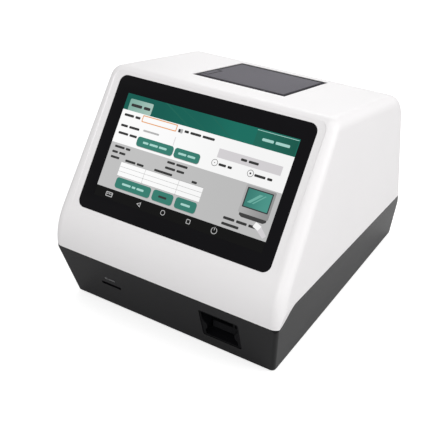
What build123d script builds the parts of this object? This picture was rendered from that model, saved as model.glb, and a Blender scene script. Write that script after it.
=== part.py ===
from build123d import *
import math
import os

os.makedirs("parts", exist_ok=True)

# Immunoassay analyzer with a slanted touch screen, a receipt printer in its top and a cartridge tray
# in its base. Millimetres, +Z up, front towards -Y, origin under the middle of the box on the table.

# Casing, whole
body_width = 245.0
body_depth = 280.0
foot_gap = 2.0
wall = 3.0
front_parting_height = 60.7
front_undercut = 14.1
base_side_taper = 8.4
shell_side_draft = 2.3
rear_lean = 8.4
side_edge_radius = 10.0
base_edge_radius = 4.0
least_inner_radius = 0.6
nose_radius = 60.0
ridge_radius = 14.0
top_back_radius = 34.0
parting_gap = 0.4
lip_height = 2.5
lip_gap = 0.15

# Parting line on the sides: it falls to the rear and steps down at the front corner
parting_fall = 3.78
side_step_height = 13.3
side_step_start = 3.5
side_step_end = 27.0
side_step_bend = 8.0

# Slanted screen
screen_tilt = 52.44
glass_side_margin = 20.95
glass_height = 129.0
glass_thickness = 1.8
glass_corner_radius = 7.5
glass_bevel = 0.25
glass_gap = 0.3
glass_drop = 49.5
glass_setback = 54.8
bay_depth = 1.5
bay_side_margin = 6.7
bay_top_margin = 5.5
bay_foot = 9.5
bay_run_out = 28.5
bay_corner_radius = 11.0
bay_wall_angle = 35.0
gasket_thickness = 0.5
gasket_border = 1.5
gasket_corner_radius = 2.0
lcd_side_border = 5.15
lcd_end_border = 6.05
lcd_thickness = 6.0
lcd_air = 0.2
lcd_clearance = 0.9
pad_border = 5.5
pad_thickness = 3.0
bracket_thickness = 1.2
bracket_corner_radius = 3.0
bracket_window_border = 14.0
screen_boss_radius = 3.4
screen_boss_inset_x = 4.2
screen_boss_inset_y = 9.0

# Top face, lid and printer
top_fall = 12.24
lid_front_height = 203.7
lid_front_setback = 131.8
lid_opening_width = 97.8
lid_opening_length = 95.2
bezel_gap = 0.3
bezel_rim = 2.4
bezel_drop = 0.4
flange_width = 4.5
flange_thickness = 2.0
flange_gap = 0.2
lid_gap = 0.5
paper_exit_gap = 1.5
lid_thickness = 2.5
lid_corner_radius = 1.0
lid_barrel_radius = 2.6
hinge_pin_radius = 1.0
running_clearance = 0.05
tub_wall = 1.8
tub_depth = 52.0
tub_rim_thickness = 1.8
tub_side_gap = 1.0
roll_radius = 22.0
roll_width = 57.0
roll_core_radius = 6.0
spindle_radius = 4.0
spindle_cheek = 2.4
spindle_gap = 1.0
cheek_width = 16.0
roll_setback = 16.0
roll_drop = 31.0
platen_radius = 5.0
platen_length = 58.0
platen_shaft_radius = 2.0
platen_setback = 38.0
platen_drop = 9.0
ear_thickness = 2.4
ear_gap = 0.8
ear_half_width = 4.0
platen_gear_teeth = 16
drive_gear_teeth = 32
printer_module = 0.6
gear_width = 4.0
gear_backlash = 0.2
tooth_root_share = 1.25
tooth_flank_angle = 22.0
gear_angle = 60.0
printer_motor_radius = 6.5
printer_motor_length = 19.0
printer_motor_shaft_radius = 1.0
motor_plate_thickness = 1.5
motor_plate_margin = 2.0
head_depth = 6.0
head_lead = 4.5
head_thickness = 2.6
head_air = 0.2
head_travel = 0.5
heater_width = 2.0
heater_thickness = 0.4
shelf_thickness = 2.0
tear_bar_thickness = 0.6
tear_bar_height = 3.0
tear_bar_drop = 0.8
release_width = 5.6
release_length = 24.0
release_thickness = 3.4
release_front_setback = 33.5
release_gap = 0.4
release_corner_radius = 0.8
release_stem = 2.4
release_stem_width = 7.2
release_stem_length = 9.5
release_spring_room = 2.25
release_guide_height = 4.5
release_guide_width = 12.0
release_travel = 1.5

# Cartridge port and tray
port_side_inset = 61.8
port_centre_height = 31.7
port_half_width = 18.4
port_half_height = 15.5
port_waist = 14.2
port_shoulder = 5.5
port_cheek_top = -1.0
port_cheek_drop = 3.5
port_flange_thickness = 1.6
port_rim = 1.6
port_corner_radius = 2.0
port_gap = 0.2
port_depth = 10.0
tray_half_width = 13.0
tray_front = 16.0
tray_length = 90.0
tray_floor_height = 23.8
tray_thickness = 7.2
tray_clearance = 0.3
cartridge_width = 22.0
cartridge_length = 70.0
cartridge_depth = 4.0
cartridge_front_wall = 3.0
tray_travel = 30.0
tray_grip_width = 2.4
tray_grip_height = 8.0
tray_grip_inset = 4.2
rack_module = 0.8
pinion_teeth = 16
pinion_height = 5.0
pinion_shaft_radius = 1.5
rack_end_margin = 6.0
rack_height = 5.5
rack_clearance = 0.4
guide_wall = 3.0
guide_front = 24.0
guide_length = 96.0
guide_leg = 6.0
tray_motor_size = 20.0
tray_motor_length = 30.0
tray_motor_shaft = 8.0
tray_motor_corner_cut = 1.5
motor_bracket_thickness = 1.5
optics_gap = 1.0
optics_length = 28.0
optics_height = 29.0
optics_tunnel = 2.0
optics_edge_cut = 1.0
optics_board_margin = 2.0
lens_radius = 5.0
lens_length = 11.0
lens_bore_radius = 3.0
lens_bore_depth = 2.75

# Card slot and reader
card_side_inset = 61.7
card_slot_height = 30.9
card_width = 22.6
card_slot_opening = 3.4
card_slot_radius = 0.8
card_socket_skin = 1.3
card_socket_length = 22.0
card_socket_wall = 2.7
card_slot_depth = 17.0
card_board_length = 32.0
card_board_setback = 13.0
card_board_margin = 2.7
card_screw_inset = 4.4
card_boss_radius = 3.0

# Chassis and boards
floor_thickness = 3.0
chassis_side_margin = 24.5
chassis_front = 45.0
chassis_length = 195.0
chassis_height = 10.0
chassis_thickness = 1.5
chassis_boss_radius = 4.0
chassis_boss_inset = 8.0
board_thickness = 1.6
board_lift = 8.5
spacer_radius = 3.0
board_margin = 3.0
main_board_gap = 22.5
main_board_front = 70.0
main_board_length = 120.0
power_board_width = 92.0
power_board_length = 34.0
power_board_gap = 4.0
board_hole_inset = 5.0
screw_radius = 1.4
screw_head_radius = 2.6
screw_head_height = 1.6
screw_cross_width = 0.6
screw_cross_depth = 0.7
screw_end_gap = 1.0
screw_hole_clearance = 0.2
thread_clearance = 0.05
screw_reach = 4.5
board_seat = 0.05
chip_size = 16.0
chip_height = 1.8
chip_offset = 10.0
memory_size = 12.0
memory_gap = 10.0
connector_height = 5.0
connector_depth = 8.0
connector_margin = 1.0
connector_inset = 2.0
capacitor_radius = 4.0
capacitor_height = 12.0
capacitor_pitch = 12.0
capacitor_inset = 14.0
power_capacitor_inset = 56.0
heat_sink_size = 32.0
heat_sink_height = 10.0
heat_sink_base = 2.0
heat_sink_fins = 8
transformer_size = 24.0
transformer_height = 18.0
transformer_inset = 28.0
ribbon_width = 24.0
ribbon_thickness = 0.4
ribbon_drop = 41.0

# Housing screws and feet
housing_boss_side_inset = 19.5
housing_boss_front_inset = 35.0
housing_boss_rear_inset = 25.0
housing_boss_radius = 5.0
housing_seam_drop = 9.0
housing_screw_radius = 1.5
housing_screw_head_radius = 3.0
housing_screw_head_height = 2.4
housing_screw_recess = 4.0
housing_screw_grip = 14.0
post_radius = 4.0
post_height = 22.0
post_gap = 0.3
foot_radius = 7.0
foot_recess = 1.4
foot_bevel = 0.6
foot_inset_x = 22.0
foot_inset_y = 45.0
foot_clearance = 0.2

# Rear panel and its sockets
panel_side_inset = 22.5
panel_centre_height = 33.0
panel_opening_width = 120.0
panel_opening_height = 30.0
panel_corner_radius = 2.0
panel_border = 3.0
panel_thickness = 2.0
panel_gap = 0.2
socket_fit = 0.2
socket_proud = 0.6
dc_inlet_offset = 52.0
dc_inlet_size = 11.0
dc_inlet_length = 14.0
dc_bore_radius = 3.2
dc_bore_depth = 9.8
dc_pin_recess = 1.0
dc_pin_radius = 1.0
switch_offset = 33.0
switch_width = 19.0
switch_height = 13.0
switch_length = 14.0
switch_wall = 1.5
rocker_gap = 0.35
rocker_throw = 12.0
rocker_pin_radius = 1.0
rocker_pivot_depth = 2.0
usb_offset = 11.0
usb_width = 14.0
usb_height = 15.6
usb_length = 17.0
usb_port_width = 12.0
usb_port_height = 4.6
usb_port_depth = 10.2
usb_tongue_thickness = 1.5
usb_tongue_offset = 0.45
usb_tongue_margin = 0.5
usb_tongue_recess = 1.5
lan_offset = -9.0
lan_size = 15.8
lan_length = 18.0
lan_port_width = 11.7
lan_port_height = 8.0
lan_port_depth = 10.8
lan_port_drop = 1.0
serial_offset = -40.0
serial_flange_width = 31.0
serial_flange_height = 12.5
serial_width = 17.0
serial_height = 8.6
serial_length = 11.0
serial_reach = 3.0
serial_corner_radius = 2.0
serial_shell_wall = 0.8
serial_pins = 5
serial_pin_pitch = 2.77
serial_pin_radius = 0.5
serial_pin_recess = 1.0
serial_row_offset = 1.4

# Cooling fan on the rear wall
fan_side_inset = 60.5
fan_height = 112.0
fan_size = 40.0
fan_corner_radius = 2.0
fan_depth = 10.0
fan_bore_radius = 18.8
fan_hub_radius = 8.5
fan_blade_tip_gap = 1.2
fan_blade_root = 2.4
fan_blade_count = 7
fan_blade_thickness = 1.2
fan_blade_pitch = 35.0
fan_blade_chord = 8.5
fan_rotor_gap = 0.5
fan_screw_reach = 6.0
fan_rotor_height = 7.0
fan_struts = 3
fan_strut_angle = 30.0
fan_strut_thickness = 1.6
fan_strut_width = 3.2
fan_hole_inset = 4.0
fan_shaft_radius = 1.5
grille_slot_width = 2.6
grille_slot_pitch = 5.0
grille_slots = 7
grille_radius = 17.5

small = 0.01
far = 400.0

front_y = -body_depth / 2
rear_y = body_depth / 2
half_width = body_width / 2
floor_z = foot_gap
floor_top = floor_z + floor_thickness
glass_width = body_width - 2 * glass_side_margin
glass_centre_height = lid_front_height - glass_drop
lcd_width = glass_width - 2 * lcd_side_border
lcd_height = glass_height - 2 * lcd_end_border
port_centre_x = half_width - port_side_inset
card_slot_x = card_side_inset - half_width
panel_centre_x = panel_side_inset + panel_opening_width / 2 - half_width
fan_x = half_width - fan_side_inset
housing_boss_x = half_width - housing_boss_side_inset


def save(node, shape):
    """Write one node's solids to its own file."""
    export_step(shape, "parts/" + node + ".step")


def block(x, y, z):
    """Box between two limits along each axis."""
    middle = Pos((x[0] + x[1]) / 2, (y[0] + y[1]) / 2, (z[0] + z[1]) / 2)
    return middle * Box(x[1] - x[0], y[1] - y[0], z[1] - z[0])


def around(centre, size):
    """Limits of a size centred on a place."""
    return (centre - size / 2, centre + size / 2)


def rod(radius, low, high, place=(0, 0)):
    """Round bar along the local Z axis between two heights."""
    bar = Cylinder(radius, high - low, align=(Align.CENTER, Align.CENTER, Align.MIN))
    return Pos(place[0], place[1], low) * bar


def cross_rod(radius, low, high, place):
    """Round bar along the local X axis; place holds its local Y and Z."""
    bar = Cylinder(radius, high - low, align=(Align.CENTER, Align.CENTER, Align.MIN))
    return Pos(low, place[0], place[1]) * Rot(0, 90, 0) * bar


def meet(point, angle, other, other_angle):
    """Where two lines in the side view cross; angles in degrees from the table."""
    along = (math.cos(math.radians(angle)), math.sin(math.radians(angle)))
    beside = (math.cos(math.radians(other_angle)), math.sin(math.radians(other_angle)))
    gap = (other[0] - point[0], other[1] - point[1])
    turn = along[0] * beside[1] - along[1] * beside[0]
    reach = (gap[0] * beside[1] - gap[1] * beside[0]) / turn
    return (point[0] + reach * along[0], point[1] + reach * along[1])


def inset_outline(points, distance):
    """Closed outline with each edge moved inward; points run counter-clockwise."""
    lines = []
    for i in range(len(points)):
        a = points[i]
        b = points[(i + 1) % len(points)]
        angle = math.atan2(b[1] - a[1], b[0] - a[0])
        moved = (a[0] - distance * math.sin(angle), a[1] + distance * math.cos(angle))
        lines.append((moved, math.degrees(angle)))
    corners = []
    for i in range(len(points)):
        before = lines[i - 1]
        after = lines[i]
        corners.append(meet(before[0], before[1], after[0], after[1]))
    return corners


def gear_outline(module, teeth, first_tooth):
    """Straight-sided spur gear outline, its first tooth at an angle in degrees."""
    pitch_radius = module * teeth / 2
    root = pitch_radius - tooth_root_share * module
    tip = pitch_radius + module
    half_pitch_tooth = (math.pi * module / 2 - gear_backlash) / 2
    slant = math.tan(math.radians(tooth_flank_angle))
    points = []
    for i in range(teeth):
        middle = math.radians(first_tooth) + 2 * math.pi * i / teeth
        foot = (half_pitch_tooth + (pitch_radius - root) * slant) / root
        head = (half_pitch_tooth - (tip - pitch_radius) * slant) / tip
        for radius, offset in ((root, -foot), (tip, -head), (tip, head), (root, foot)):
            points.append((radius * math.cos(middle + offset), radius * math.sin(middle + offset)))
    return make_face(Polyline(*points, close=True))


# Side view of the casing: front foot, front parting, nose, ridge, top back, rear foot
glass_y = front_y + glass_setback
tilt = math.radians(screen_tilt)
bay_reach = glass_height / 2 + bay_foot
bay_slope = math.degrees(math.atan(bay_depth / (glass_height + bay_foot + bay_top_margin)))
bay_low = (glass_y - bay_reach * math.cos(tilt), glass_centre_height - bay_reach * math.sin(tilt))
lid_front_y = front_y + lid_front_setback
front_foot = (front_y + front_undercut, floor_z)
front_parting = (front_y, front_parting_height)
rear_foot = (rear_y, floor_z)
nose = meet(front_parting, 90, bay_low, screen_tilt + bay_slope)
ridge = meet(bay_low, screen_tilt + bay_slope, (lid_front_y, lid_front_height), -top_fall)
top_back = meet((lid_front_y, lid_front_height), -top_fall, rear_foot, 90 + rear_lean)
high = 2 * ridge[1]
upper_outline = [(front_y, floor_z), rear_foot, top_back, ridge, nose]
front_slant = 180 - math.degrees(math.atan2(front_parting_height - floor_z, front_undercut))
lower_outline = [
    front_foot,
    rear_foot,
    meet(rear_foot, 90 + rear_lean, (0, high), 0),
    meet(front_foot, front_slant, (0, high), 0),
]

# Widest line of the sides, which the parting line follows
parting_slope = math.tan(math.radians(parting_fall))
side_parting_front = front_parting_height + side_step_height
crease_start_y = front_y + side_step_end


def crease_height(y):
    """Height of the widest line of the casing's sides."""
    return side_parting_front - (y - crease_start_y) * parting_slope


def edges_through(solid, points):
    """The solid's edges that pass through each of the points."""
    chosen = []
    for point in points:
        chosen.append(min(solid.edges(), key=lambda e: e.distance_to(Vector(*point))))
    return chosen


def prism_between(section, inset):
    """Straight body with a cross-section carried along the fall of the widest line."""
    fall = math.radians(parting_fall)
    back = Plane(
        origin=(0, far / 2, crease_height(far / 2)),
        x_dir=(1, 0, 0),
        z_dir=(0, -math.cos(fall), math.sin(fall)),
    )
    return extrude(back * make_face(Polyline(*inset_outline(section, inset), close=True)), amount=far)


def side_slab(outline):
    """Side view outline carried across the width."""
    side = make_face(Polyline(*[(0, y, z) for y, z in outline], close=True))
    return extrude(side, amount=body_width, dir=(1, 0, 0), both=True)


def long_edges(body):
    """Edges along the left and right sides, other than those on the floor."""
    chosen = []
    for edge in body.edges():
        middle = edge.position_at(0.5)
        if abs(middle.X) > body_width / 4 and abs(edge.tangent_at(0.5).X) < 0.5:
            if abs(edge.tangent_at(0.5).Y) < 0.9 or middle.Z > front_parting_height:
                chosen.append(edge)
    return chosen


def casing(inset):
    """Outer body with every face moved inward by inset, its edges rounded to match."""
    draft = math.tan(math.radians(shell_side_draft))
    taper = math.tan(math.radians(base_side_taper))
    reach = body_width
    drafted = [
        (half_width + reach * draft, -reach),
        (half_width - reach * draft, reach),
        (-half_width + reach * draft, reach),
        (-half_width - reach * draft, -reach),
    ]
    tapered = [
        (half_width - reach * taper, -reach),
        (half_width + reach * taper, reach),
        (-half_width - reach * taper, reach),
        (-half_width + reach * taper, -reach),
    ]
    outline = inset_outline(upper_outline, inset)
    upper = side_slab(outline) & prism_between(drafted, inset)
    nose_in, ridge_in, top_in = outline[4], outline[3], outline[2]
    upper = fillet(edges_through(upper, [(0, *nose_in)]), nose_radius - inset)
    upper = fillet(edges_through(upper, [(0, *top_in)]), top_back_radius - inset)
    upper = fillet(edges_through(upper, [(0, *ridge_in)]), ridge_radius - inset)
    upper = fillet(long_edges(upper), side_edge_radius - inset)
    lower = side_slab(inset_outline(lower_outline, inset)) & prism_between(tapered, inset)
    lower = fillet(long_edges(lower), max(base_edge_radius - inset, least_inner_radius))
    return upper & lower


outer = casing(0)
inner = casing(wall)

# Parting surface in the side view, run straight across the width
step_low = (front_y + side_step_start, front_parting_height)
step_high = (crease_start_y, crease_height(crease_start_y))
rear_height = crease_height(far / 2)
parting_line = Line((0, -far / 2, front_parting_height), (0, *step_low))
step_curve = Bezier(
    (0, *step_low),
    (0, step_low[0] + side_step_bend, step_low[1]),
    (0, step_high[0] - side_step_bend, step_high[1] + side_step_bend * parting_slope),
    (0, *step_high),
)
rear_run = Line((0, *step_high), (0, far / 2, rear_height))
down = Polyline(
    (0, far / 2, rear_height), (0, far / 2, -far), (0, -far / 2, -far), (0, -far / 2, front_parting_height)
)
below_face = make_face(parting_line + step_curve + rear_run + down)
below = extrude(below_face, amount=far, dir=(1, 0, 0), both=True)
below_gap = Pos(0, 0, parting_gap) * below

# Local frames of the screen, the top, the front wall of the base and the rear wall
screen = Plane(
    origin=(0, glass_y, glass_centre_height), x_dir=(1, 0, 0), z_dir=(0, -math.sin(tilt), math.cos(tilt))
)
fall = math.radians(top_fall)
lid_middle = lid_opening_length / 2
top_origin_y = lid_front_y + lid_middle * math.cos(fall)
top_origin_z = lid_front_height - lid_middle * math.sin(fall)
top_normal = (0, math.sin(fall), math.cos(fall))
top = Plane(origin=(0, top_origin_y, top_origin_z), x_dir=(1, 0, 0), z_dir=top_normal)
undercut = math.atan(front_undercut / (front_parting_height - floor_z))


def front_wall_y(z):
    """Where the outside of the base's front wall is at a height."""
    return front_y + (front_parting_height - z) * math.tan(undercut)


def front_frame(x, z):
    """Frame on the outside of the base's front wall, its normal pointing out."""
    outward = (0, -math.cos(undercut), -math.sin(undercut))
    return Plane(origin=(x, front_wall_y(z), z), x_dir=(1, 0, 0), z_dir=outward)


lean = math.radians(rear_lean)


def rear_frame(x, z):
    """Frame on the outside of the rear wall, its normal pointing out."""
    y = rear_y - (z - floor_z) * math.tan(lean)
    return Plane(origin=(x, y, z), x_dir=(-1, 0, 0), z_dir=(0, math.cos(lean), math.sin(lean)))


# Upper shell
glass_half_x = glass_width / 2
glass_half_y = glass_height / 2
bay_half_x = glass_half_x + bay_side_margin
bay_top = glass_half_y + bay_top_margin
bay_bottom = -glass_half_y - bay_run_out
bay_face = RectangleRounded(2 * bay_half_x, bay_top - bay_bottom, bay_corner_radius)
bay_cut = extrude(Pos(0, (bay_top + bay_bottom) / 2) * bay_face, amount=4 * bay_depth, taper=-bay_wall_angle)
pocket_depth = glass_thickness + gasket_thickness
pocket_width = glass_width + 2 * glass_gap
pocket_height = glass_height + 2 * glass_gap
pocket_face = RectangleRounded(pocket_width, pocket_height, glass_corner_radius + glass_gap)
pocket = extrude(pocket_face, amount=-pocket_depth)
window_x = lcd_width / 2 + lcd_clearance
window_y = lcd_height / 2 + lcd_clearance
pad_low = -pocket_depth - pad_thickness
pad = block(
    (-glass_half_x - pad_border, glass_half_x + pad_border),
    (-glass_half_y - pad_border, glass_half_y + pad_border),
    (pad_low, -small - gasket_thickness),
)
boss_x = glass_half_x + pad_border - screen_boss_inset_x
boss_y = glass_half_y - screen_boss_inset_y
bracket_top = -glass_thickness - lcd_air - lcd_thickness - lcd_air
screen_boss_places = [(boss_x, boss_y), (-boss_x, boss_y), (boss_x, -boss_y), (-boss_x, -boss_y)]
pad_parts = pad
for place in screen_boss_places:
    pad_parts += rod(screen_boss_radius, bracket_top, pad_low + small, place)
window = block((-window_x, window_x), (-window_y, window_y), (bracket_top - 1, 1))
screen_pilots = Part()
for place in screen_boss_places:
    screen_pilots += rod(screw_radius + thread_clearance, bracket_top - 1, pad_low + 1, place)
lid_hole = top * Box(lid_opening_width, lid_opening_length, 6 * wall)

fan_frame_place = rear_frame(fan_x, fan_height)
fan_inset = fan_size / 2 - fan_hole_inset
fan_corners = [(sx * fan_inset, sy * fan_inset) for sx in (-1, 1) for sy in (-1, 1)]
grille = Part()
for i in range(grille_slots):
    across = (i - (grille_slots - 1) / 2) * grille_slot_pitch
    half_length = math.sqrt(max(grille_radius**2 - across**2, grille_slot_width**2))
    slot = SlotOverall(2 * half_length, grille_slot_width)
    grille += extrude(Pos(0, across) * slot, amount=2 * wall, both=True)
fan_holes = Part()
for place in fan_corners:
    fan_holes += rod(screw_radius + screw_hole_clearance, -2 * wall, wall, place)

housing_front_y = front_y + housing_boss_front_inset
housing_rear_y = rear_y - housing_boss_rear_inset
housing_places = []
for x in (-housing_boss_x, housing_boss_x):
    for y in (housing_front_y, housing_rear_y):
        housing_places.append((x, y))


def housing_seam(y):
    """Height where the base's boss ends and the upper shell's post begins."""
    return crease_height(y) - housing_seam_drop


posts = Part()
post_bores = Part()
for x, y in housing_places:
    low = housing_seam(y) + post_gap
    side_x = math.copysign(half_width - wall / 2 - post_height * math.tan(math.radians(shell_side_draft)), x)
    web_x = (min(x, side_x), max(x, side_x))
    posts += rod(post_radius, low, low + post_height, (x, y))
    posts += block(web_x, around(y, wall), (crease_height(y) + parting_gap + wall, low + post_height))
    post_bores += rod(housing_screw_radius + thread_clearance, low - 1, low + housing_screw_grip, (x, y))

upper_shell = outer - inner
upper_shell -= below_gap
upper_shell -= casing(wall / 2 - lip_gap) & (Pos(0, 0, lip_height + parting_gap) * below)
upper_shell += (screen * pad_parts) & outer
upper_shell += posts & outer
upper_shell -= screen * bay_cut
upper_shell -= screen * pocket
upper_shell -= screen * window
upper_shell -= screen * screen_pilots
upper_shell -= lid_hole
upper_shell -= fan_frame_place * grille
upper_shell -= fan_frame_place * fan_holes
upper_shell -= post_bores
save("upper_shell", upper_shell)

# Base shell
base_outer = outer & below
port = front_frame(port_centre_x, port_centre_height)
card_place = front_frame(card_slot_x, card_slot_height)
panel = rear_frame(panel_centre_x, panel_centre_height)

chassis_y = (front_y + chassis_front, front_y + chassis_front + chassis_length)
chassis_half = half_width - chassis_side_margin
chassis_places = []
for x in (-chassis_half + chassis_boss_inset, 0, chassis_half - chassis_boss_inset):
    for y in (chassis_y[0] + chassis_boss_inset, chassis_y[1] - chassis_boss_inset):
        chassis_places.append((x, y))
card_board_y = (front_y + card_board_setback, front_y + card_board_setback + card_board_length)
card_socket_height = card_slot_opening + 2 * card_socket_skin
card_board_top = card_slot_height - card_socket_height / 2 - board_seat
card_board_low = card_board_top - board_thickness
card_board_half = card_width / 2 + card_socket_wall + card_board_margin
card_screw_x = card_board_half - card_screw_inset
card_places = [(card_slot_x + s * card_screw_x, card_board_y[1] - board_hole_inset) for s in (-1, 1)]
foot_places = []
for x in (-half_width + foot_inset_x, half_width - foot_inset_x):
    for y in (front_foot[0] + foot_inset_y, rear_y - foot_inset_y):
        foot_places.append((x, y))

base_shell = base_outer - inner
lip = (casing(wall / 2) - inner) & ((Pos(0, 0, lip_height) * below) - below)
base_shell += lip
for x, y in housing_places:
    base_shell += rod(housing_boss_radius, floor_z + small, housing_seam(y), (x, y))
for x, y in chassis_places:
    base_shell += rod(chassis_boss_radius, floor_top - small, chassis_height, (x, y))
for x, y in card_places:
    base_shell += rod(card_boss_radius, floor_top - small, card_board_low, (x, y))
for x, y in foot_places:
    base_shell += rod(foot_radius + wall, floor_z + small, floor_top + foot_recess, (x, y))
head_hole = housing_screw_head_radius + screw_hole_clearance
for x, y in housing_places:
    base_shell -= rod(housing_screw_radius + screw_hole_clearance, 0, far, (x, y))
    base_shell -= rod(head_hole, 0, floor_z + housing_screw_recess, (x, y))
for x, y in chassis_places + card_places:
    base_shell -= rod(screw_radius + thread_clearance, floor_top + 1, far, (x, y))
for x, y in foot_places:
    base_shell -= rod(foot_radius + foot_clearance, 0, floor_z + foot_recess, (x, y))
port_outer_x = port_half_width + port_rim
port_outer_y = port_half_height + port_rim
port_outer = RectangleRounded(2 * port_outer_x, 2 * port_outer_y, port_corner_radius)
base_shell -= port * extrude(offset(port_outer, port_gap), amount=2 * wall, both=True)
card_hole = RectangleRounded(card_width, card_slot_opening, card_slot_radius)
base_shell -= card_place * extrude(card_hole, amount=2 * wall, both=True)
panel_hole = RectangleRounded(panel_opening_width, panel_opening_height, panel_corner_radius)
base_shell -= panel * extrude(panel_hole, amount=2 * wall, both=True)
save("base_shell", base_shell)

# Touch glass, its gasket, the display and the bracket behind it
glass_face = RectangleRounded(glass_width, glass_height, glass_corner_radius)
touch_glass = extrude(glass_face, amount=-glass_thickness)
touch_glass = chamfer(touch_glass.faces().sort_by(Axis.Z)[-1].edges(), glass_bevel)
save("touch_glass", screen * touch_glass)
gasket_x = glass_width - 2 * gasket_border
gasket_y = glass_height - 2 * gasket_border
gasket_face = RectangleRounded(gasket_x, gasket_y, gasket_corner_radius)
gasket_face -= Rectangle(2 * window_x, 2 * window_y)
screen_gasket = Pos(0, 0, -pocket_depth) * extrude(gasket_face, amount=gasket_thickness)
save("screen_gasket", screen * screen_gasket)
lcd_top = -glass_thickness - lcd_air
display_module = block(
    (-lcd_width / 2, lcd_width / 2), (-lcd_height / 2, lcd_height / 2), (lcd_top - lcd_thickness, lcd_top)
)
save("display_module", screen * display_module)
bracket_half_x = boss_x + screen_boss_radius
bracket_half_y = boss_y + screen_boss_radius
bracket_face = RectangleRounded(2 * bracket_half_x, 2 * bracket_half_y, bracket_corner_radius)
bracket_face -= Rectangle(lcd_width - 2 * bracket_window_border, lcd_height - 2 * bracket_window_border)
for place in screen_boss_places:
    bracket_face -= Pos(*place) * Circle(screw_radius + screw_hole_clearance)
screen_bracket = Pos(0, 0, bracket_top) * extrude(bracket_face, amount=-bracket_thickness)
save("screen_bracket", screen * screen_bracket)


def screw(head_radius, head_height, radius, reach):
    """Pan head screw pointing down, its head's underside at zero."""
    head = rod(head_radius, 0, head_height)
    head = chamfer(head.faces().sort_by(Axis.Z)[-1].edges(), head_height / 4)
    cross = Box(head_radius, screw_cross_width, 2 * screw_cross_depth)
    cross += Box(screw_cross_width, head_radius, 2 * screw_cross_depth)
    head -= Pos(0, 0, head_height) * cross
    return head + rod(radius, -reach, small)


small_screw = screw(screw_head_radius, screw_head_height, screw_radius, screw_reach)
bracket_screws = []
for place in screen_boss_places:
    seat = Pos(place[0], place[1], bracket_top - bracket_thickness)
    bracket_screws.append(screen * seat * Rot(180, 0, 0) * small_screw)
save("bracket_screws", Compound(children=bracket_screws))

# Printer in the top: bezel and paper tub, in the frame of the top face
opening_x = lid_opening_width / 2
opening_y = lid_opening_length / 2
ring_x = opening_x - bezel_gap
ring_y = opening_y - bezel_gap
ring_in_x = ring_x - bezel_rim
ring_in_y = ring_y - bezel_rim
flange_top = -wall - flange_gap
ring_low = flange_top - flange_thickness
flange_x = opening_x + flange_width
flange_y = opening_y + flange_width
hinge_y = ring_in_y - lid_gap - lid_barrel_radius
hinge_z = -lid_barrel_radius
printer_bezel = block((-ring_x, ring_x), (-ring_y, ring_y), (ring_low, -bezel_drop))
printer_bezel += block((-flange_x, flange_x), (-flange_y, flange_y), (ring_low, flange_top))
printer_bezel -= block((-ring_in_x, ring_in_x), (-ring_in_y, ring_in_y), (ring_low - 1, 1))
pin_end = ring_x - bezel_drop
printer_bezel -= cross_rod(hinge_pin_radius + running_clearance, -pin_end, pin_end, (hinge_y, hinge_z))
save("printer_bezel", top * printer_bezel)
hinge_pin = cross_rod(hinge_pin_radius, -pin_end + bezel_gap, pin_end - bezel_gap, (hinge_y, hinge_z))
save("lid_hinge_pin", top * hinge_pin)

tub_top = ring_low - flange_gap
tub_low = tub_top - tub_depth
tub_floor = tub_low + tub_wall
tub_in_x = ring_in_x - tub_side_gap
tub_in_y = ring_in_y - tub_side_gap
roll_half = roll_width / 2
roll_y = roll_setback
roll_z = -roll_drop
cheek_x = roll_half + spindle_gap + spindle_cheek / 2
platen_y = -platen_setback
platen_z = -platen_drop
gear_reach = printer_module * (platen_gear_teeth + drive_gear_teeth) / 2 + running_clearance
drive_turn = math.radians(gear_angle)
drive_y = platen_y + gear_reach * math.cos(drive_turn)
drive_z = platen_z - gear_reach * math.sin(drive_turn)
head_top = platen_z - platen_radius - head_air
head_low = head_top - heater_thickness - head_thickness
head_y = (platen_y - head_lead, platen_y - head_lead + head_depth)
head_half = platen_length / 2 - ear_gap
shelf_top = head_low - head_travel - head_air
release_x = -ring_in_x + lid_gap
release_y = (-release_front_setback, -release_front_setback + release_length)
release_middle = (release_y[0] + release_y[1]) / 2
stem_x = around(release_x + release_width / 2, release_stem)
stem_y = around(release_middle, release_stem_width)
stem_low = -release_thickness - release_stem_length
guide_top = -release_thickness - release_travel - release_spring_room
paper_tub = block((-flange_x, flange_x), (-flange_y, flange_y), (tub_top - tub_rim_thickness, tub_top))
paper_tub += block(
    (-tub_in_x - tub_wall, tub_in_x + tub_wall),
    (-tub_in_y - tub_wall, tub_in_y + tub_wall),
    (tub_low, tub_top),
)
paper_tub -= block((-tub_in_x, tub_in_x), (-tub_in_y, tub_in_y), (tub_floor, 1))
for side in (-1, 1):
    cheek = block(
        around(side * cheek_x, spindle_cheek),
        around(roll_y, cheek_width),
        (tub_floor - small, roll_z + spindle_radius),
    )
    reach_x = (side * cheek_x - spindle_cheek, side * cheek_x + spindle_cheek)
    cheek -= cross_rod(spindle_radius + running_clearance, *reach_x, (roll_y, roll_z))
    notch_y = around(roll_y, 2 * (spindle_radius + running_clearance))
    cheek -= block(reach_x, notch_y, (roll_z, roll_z + 2 * spindle_radius))
    paper_tub += cheek
paper_tub += block(
    (-head_half, head_half),
    (-tub_in_y - small, head_y[1] - shelf_thickness),
    (shelf_top - shelf_thickness, shelf_top),
)
guide = block(
    (-tub_in_x - small, release_x + release_width),
    around(release_middle, release_guide_width),
    (guide_top - release_guide_height, guide_top),
)
stem_hole_x = (stem_x[0] - tray_clearance, stem_x[1] + tray_clearance)
stem_hole_y = (stem_y[0] - tray_clearance, stem_y[1] + tray_clearance)
guide -= block(stem_hole_x, stem_hole_y, (guide_top - 2 * release_guide_height, guide_top + 1))
paper_tub += guide
save("paper_tub", top * paper_tub)

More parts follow.
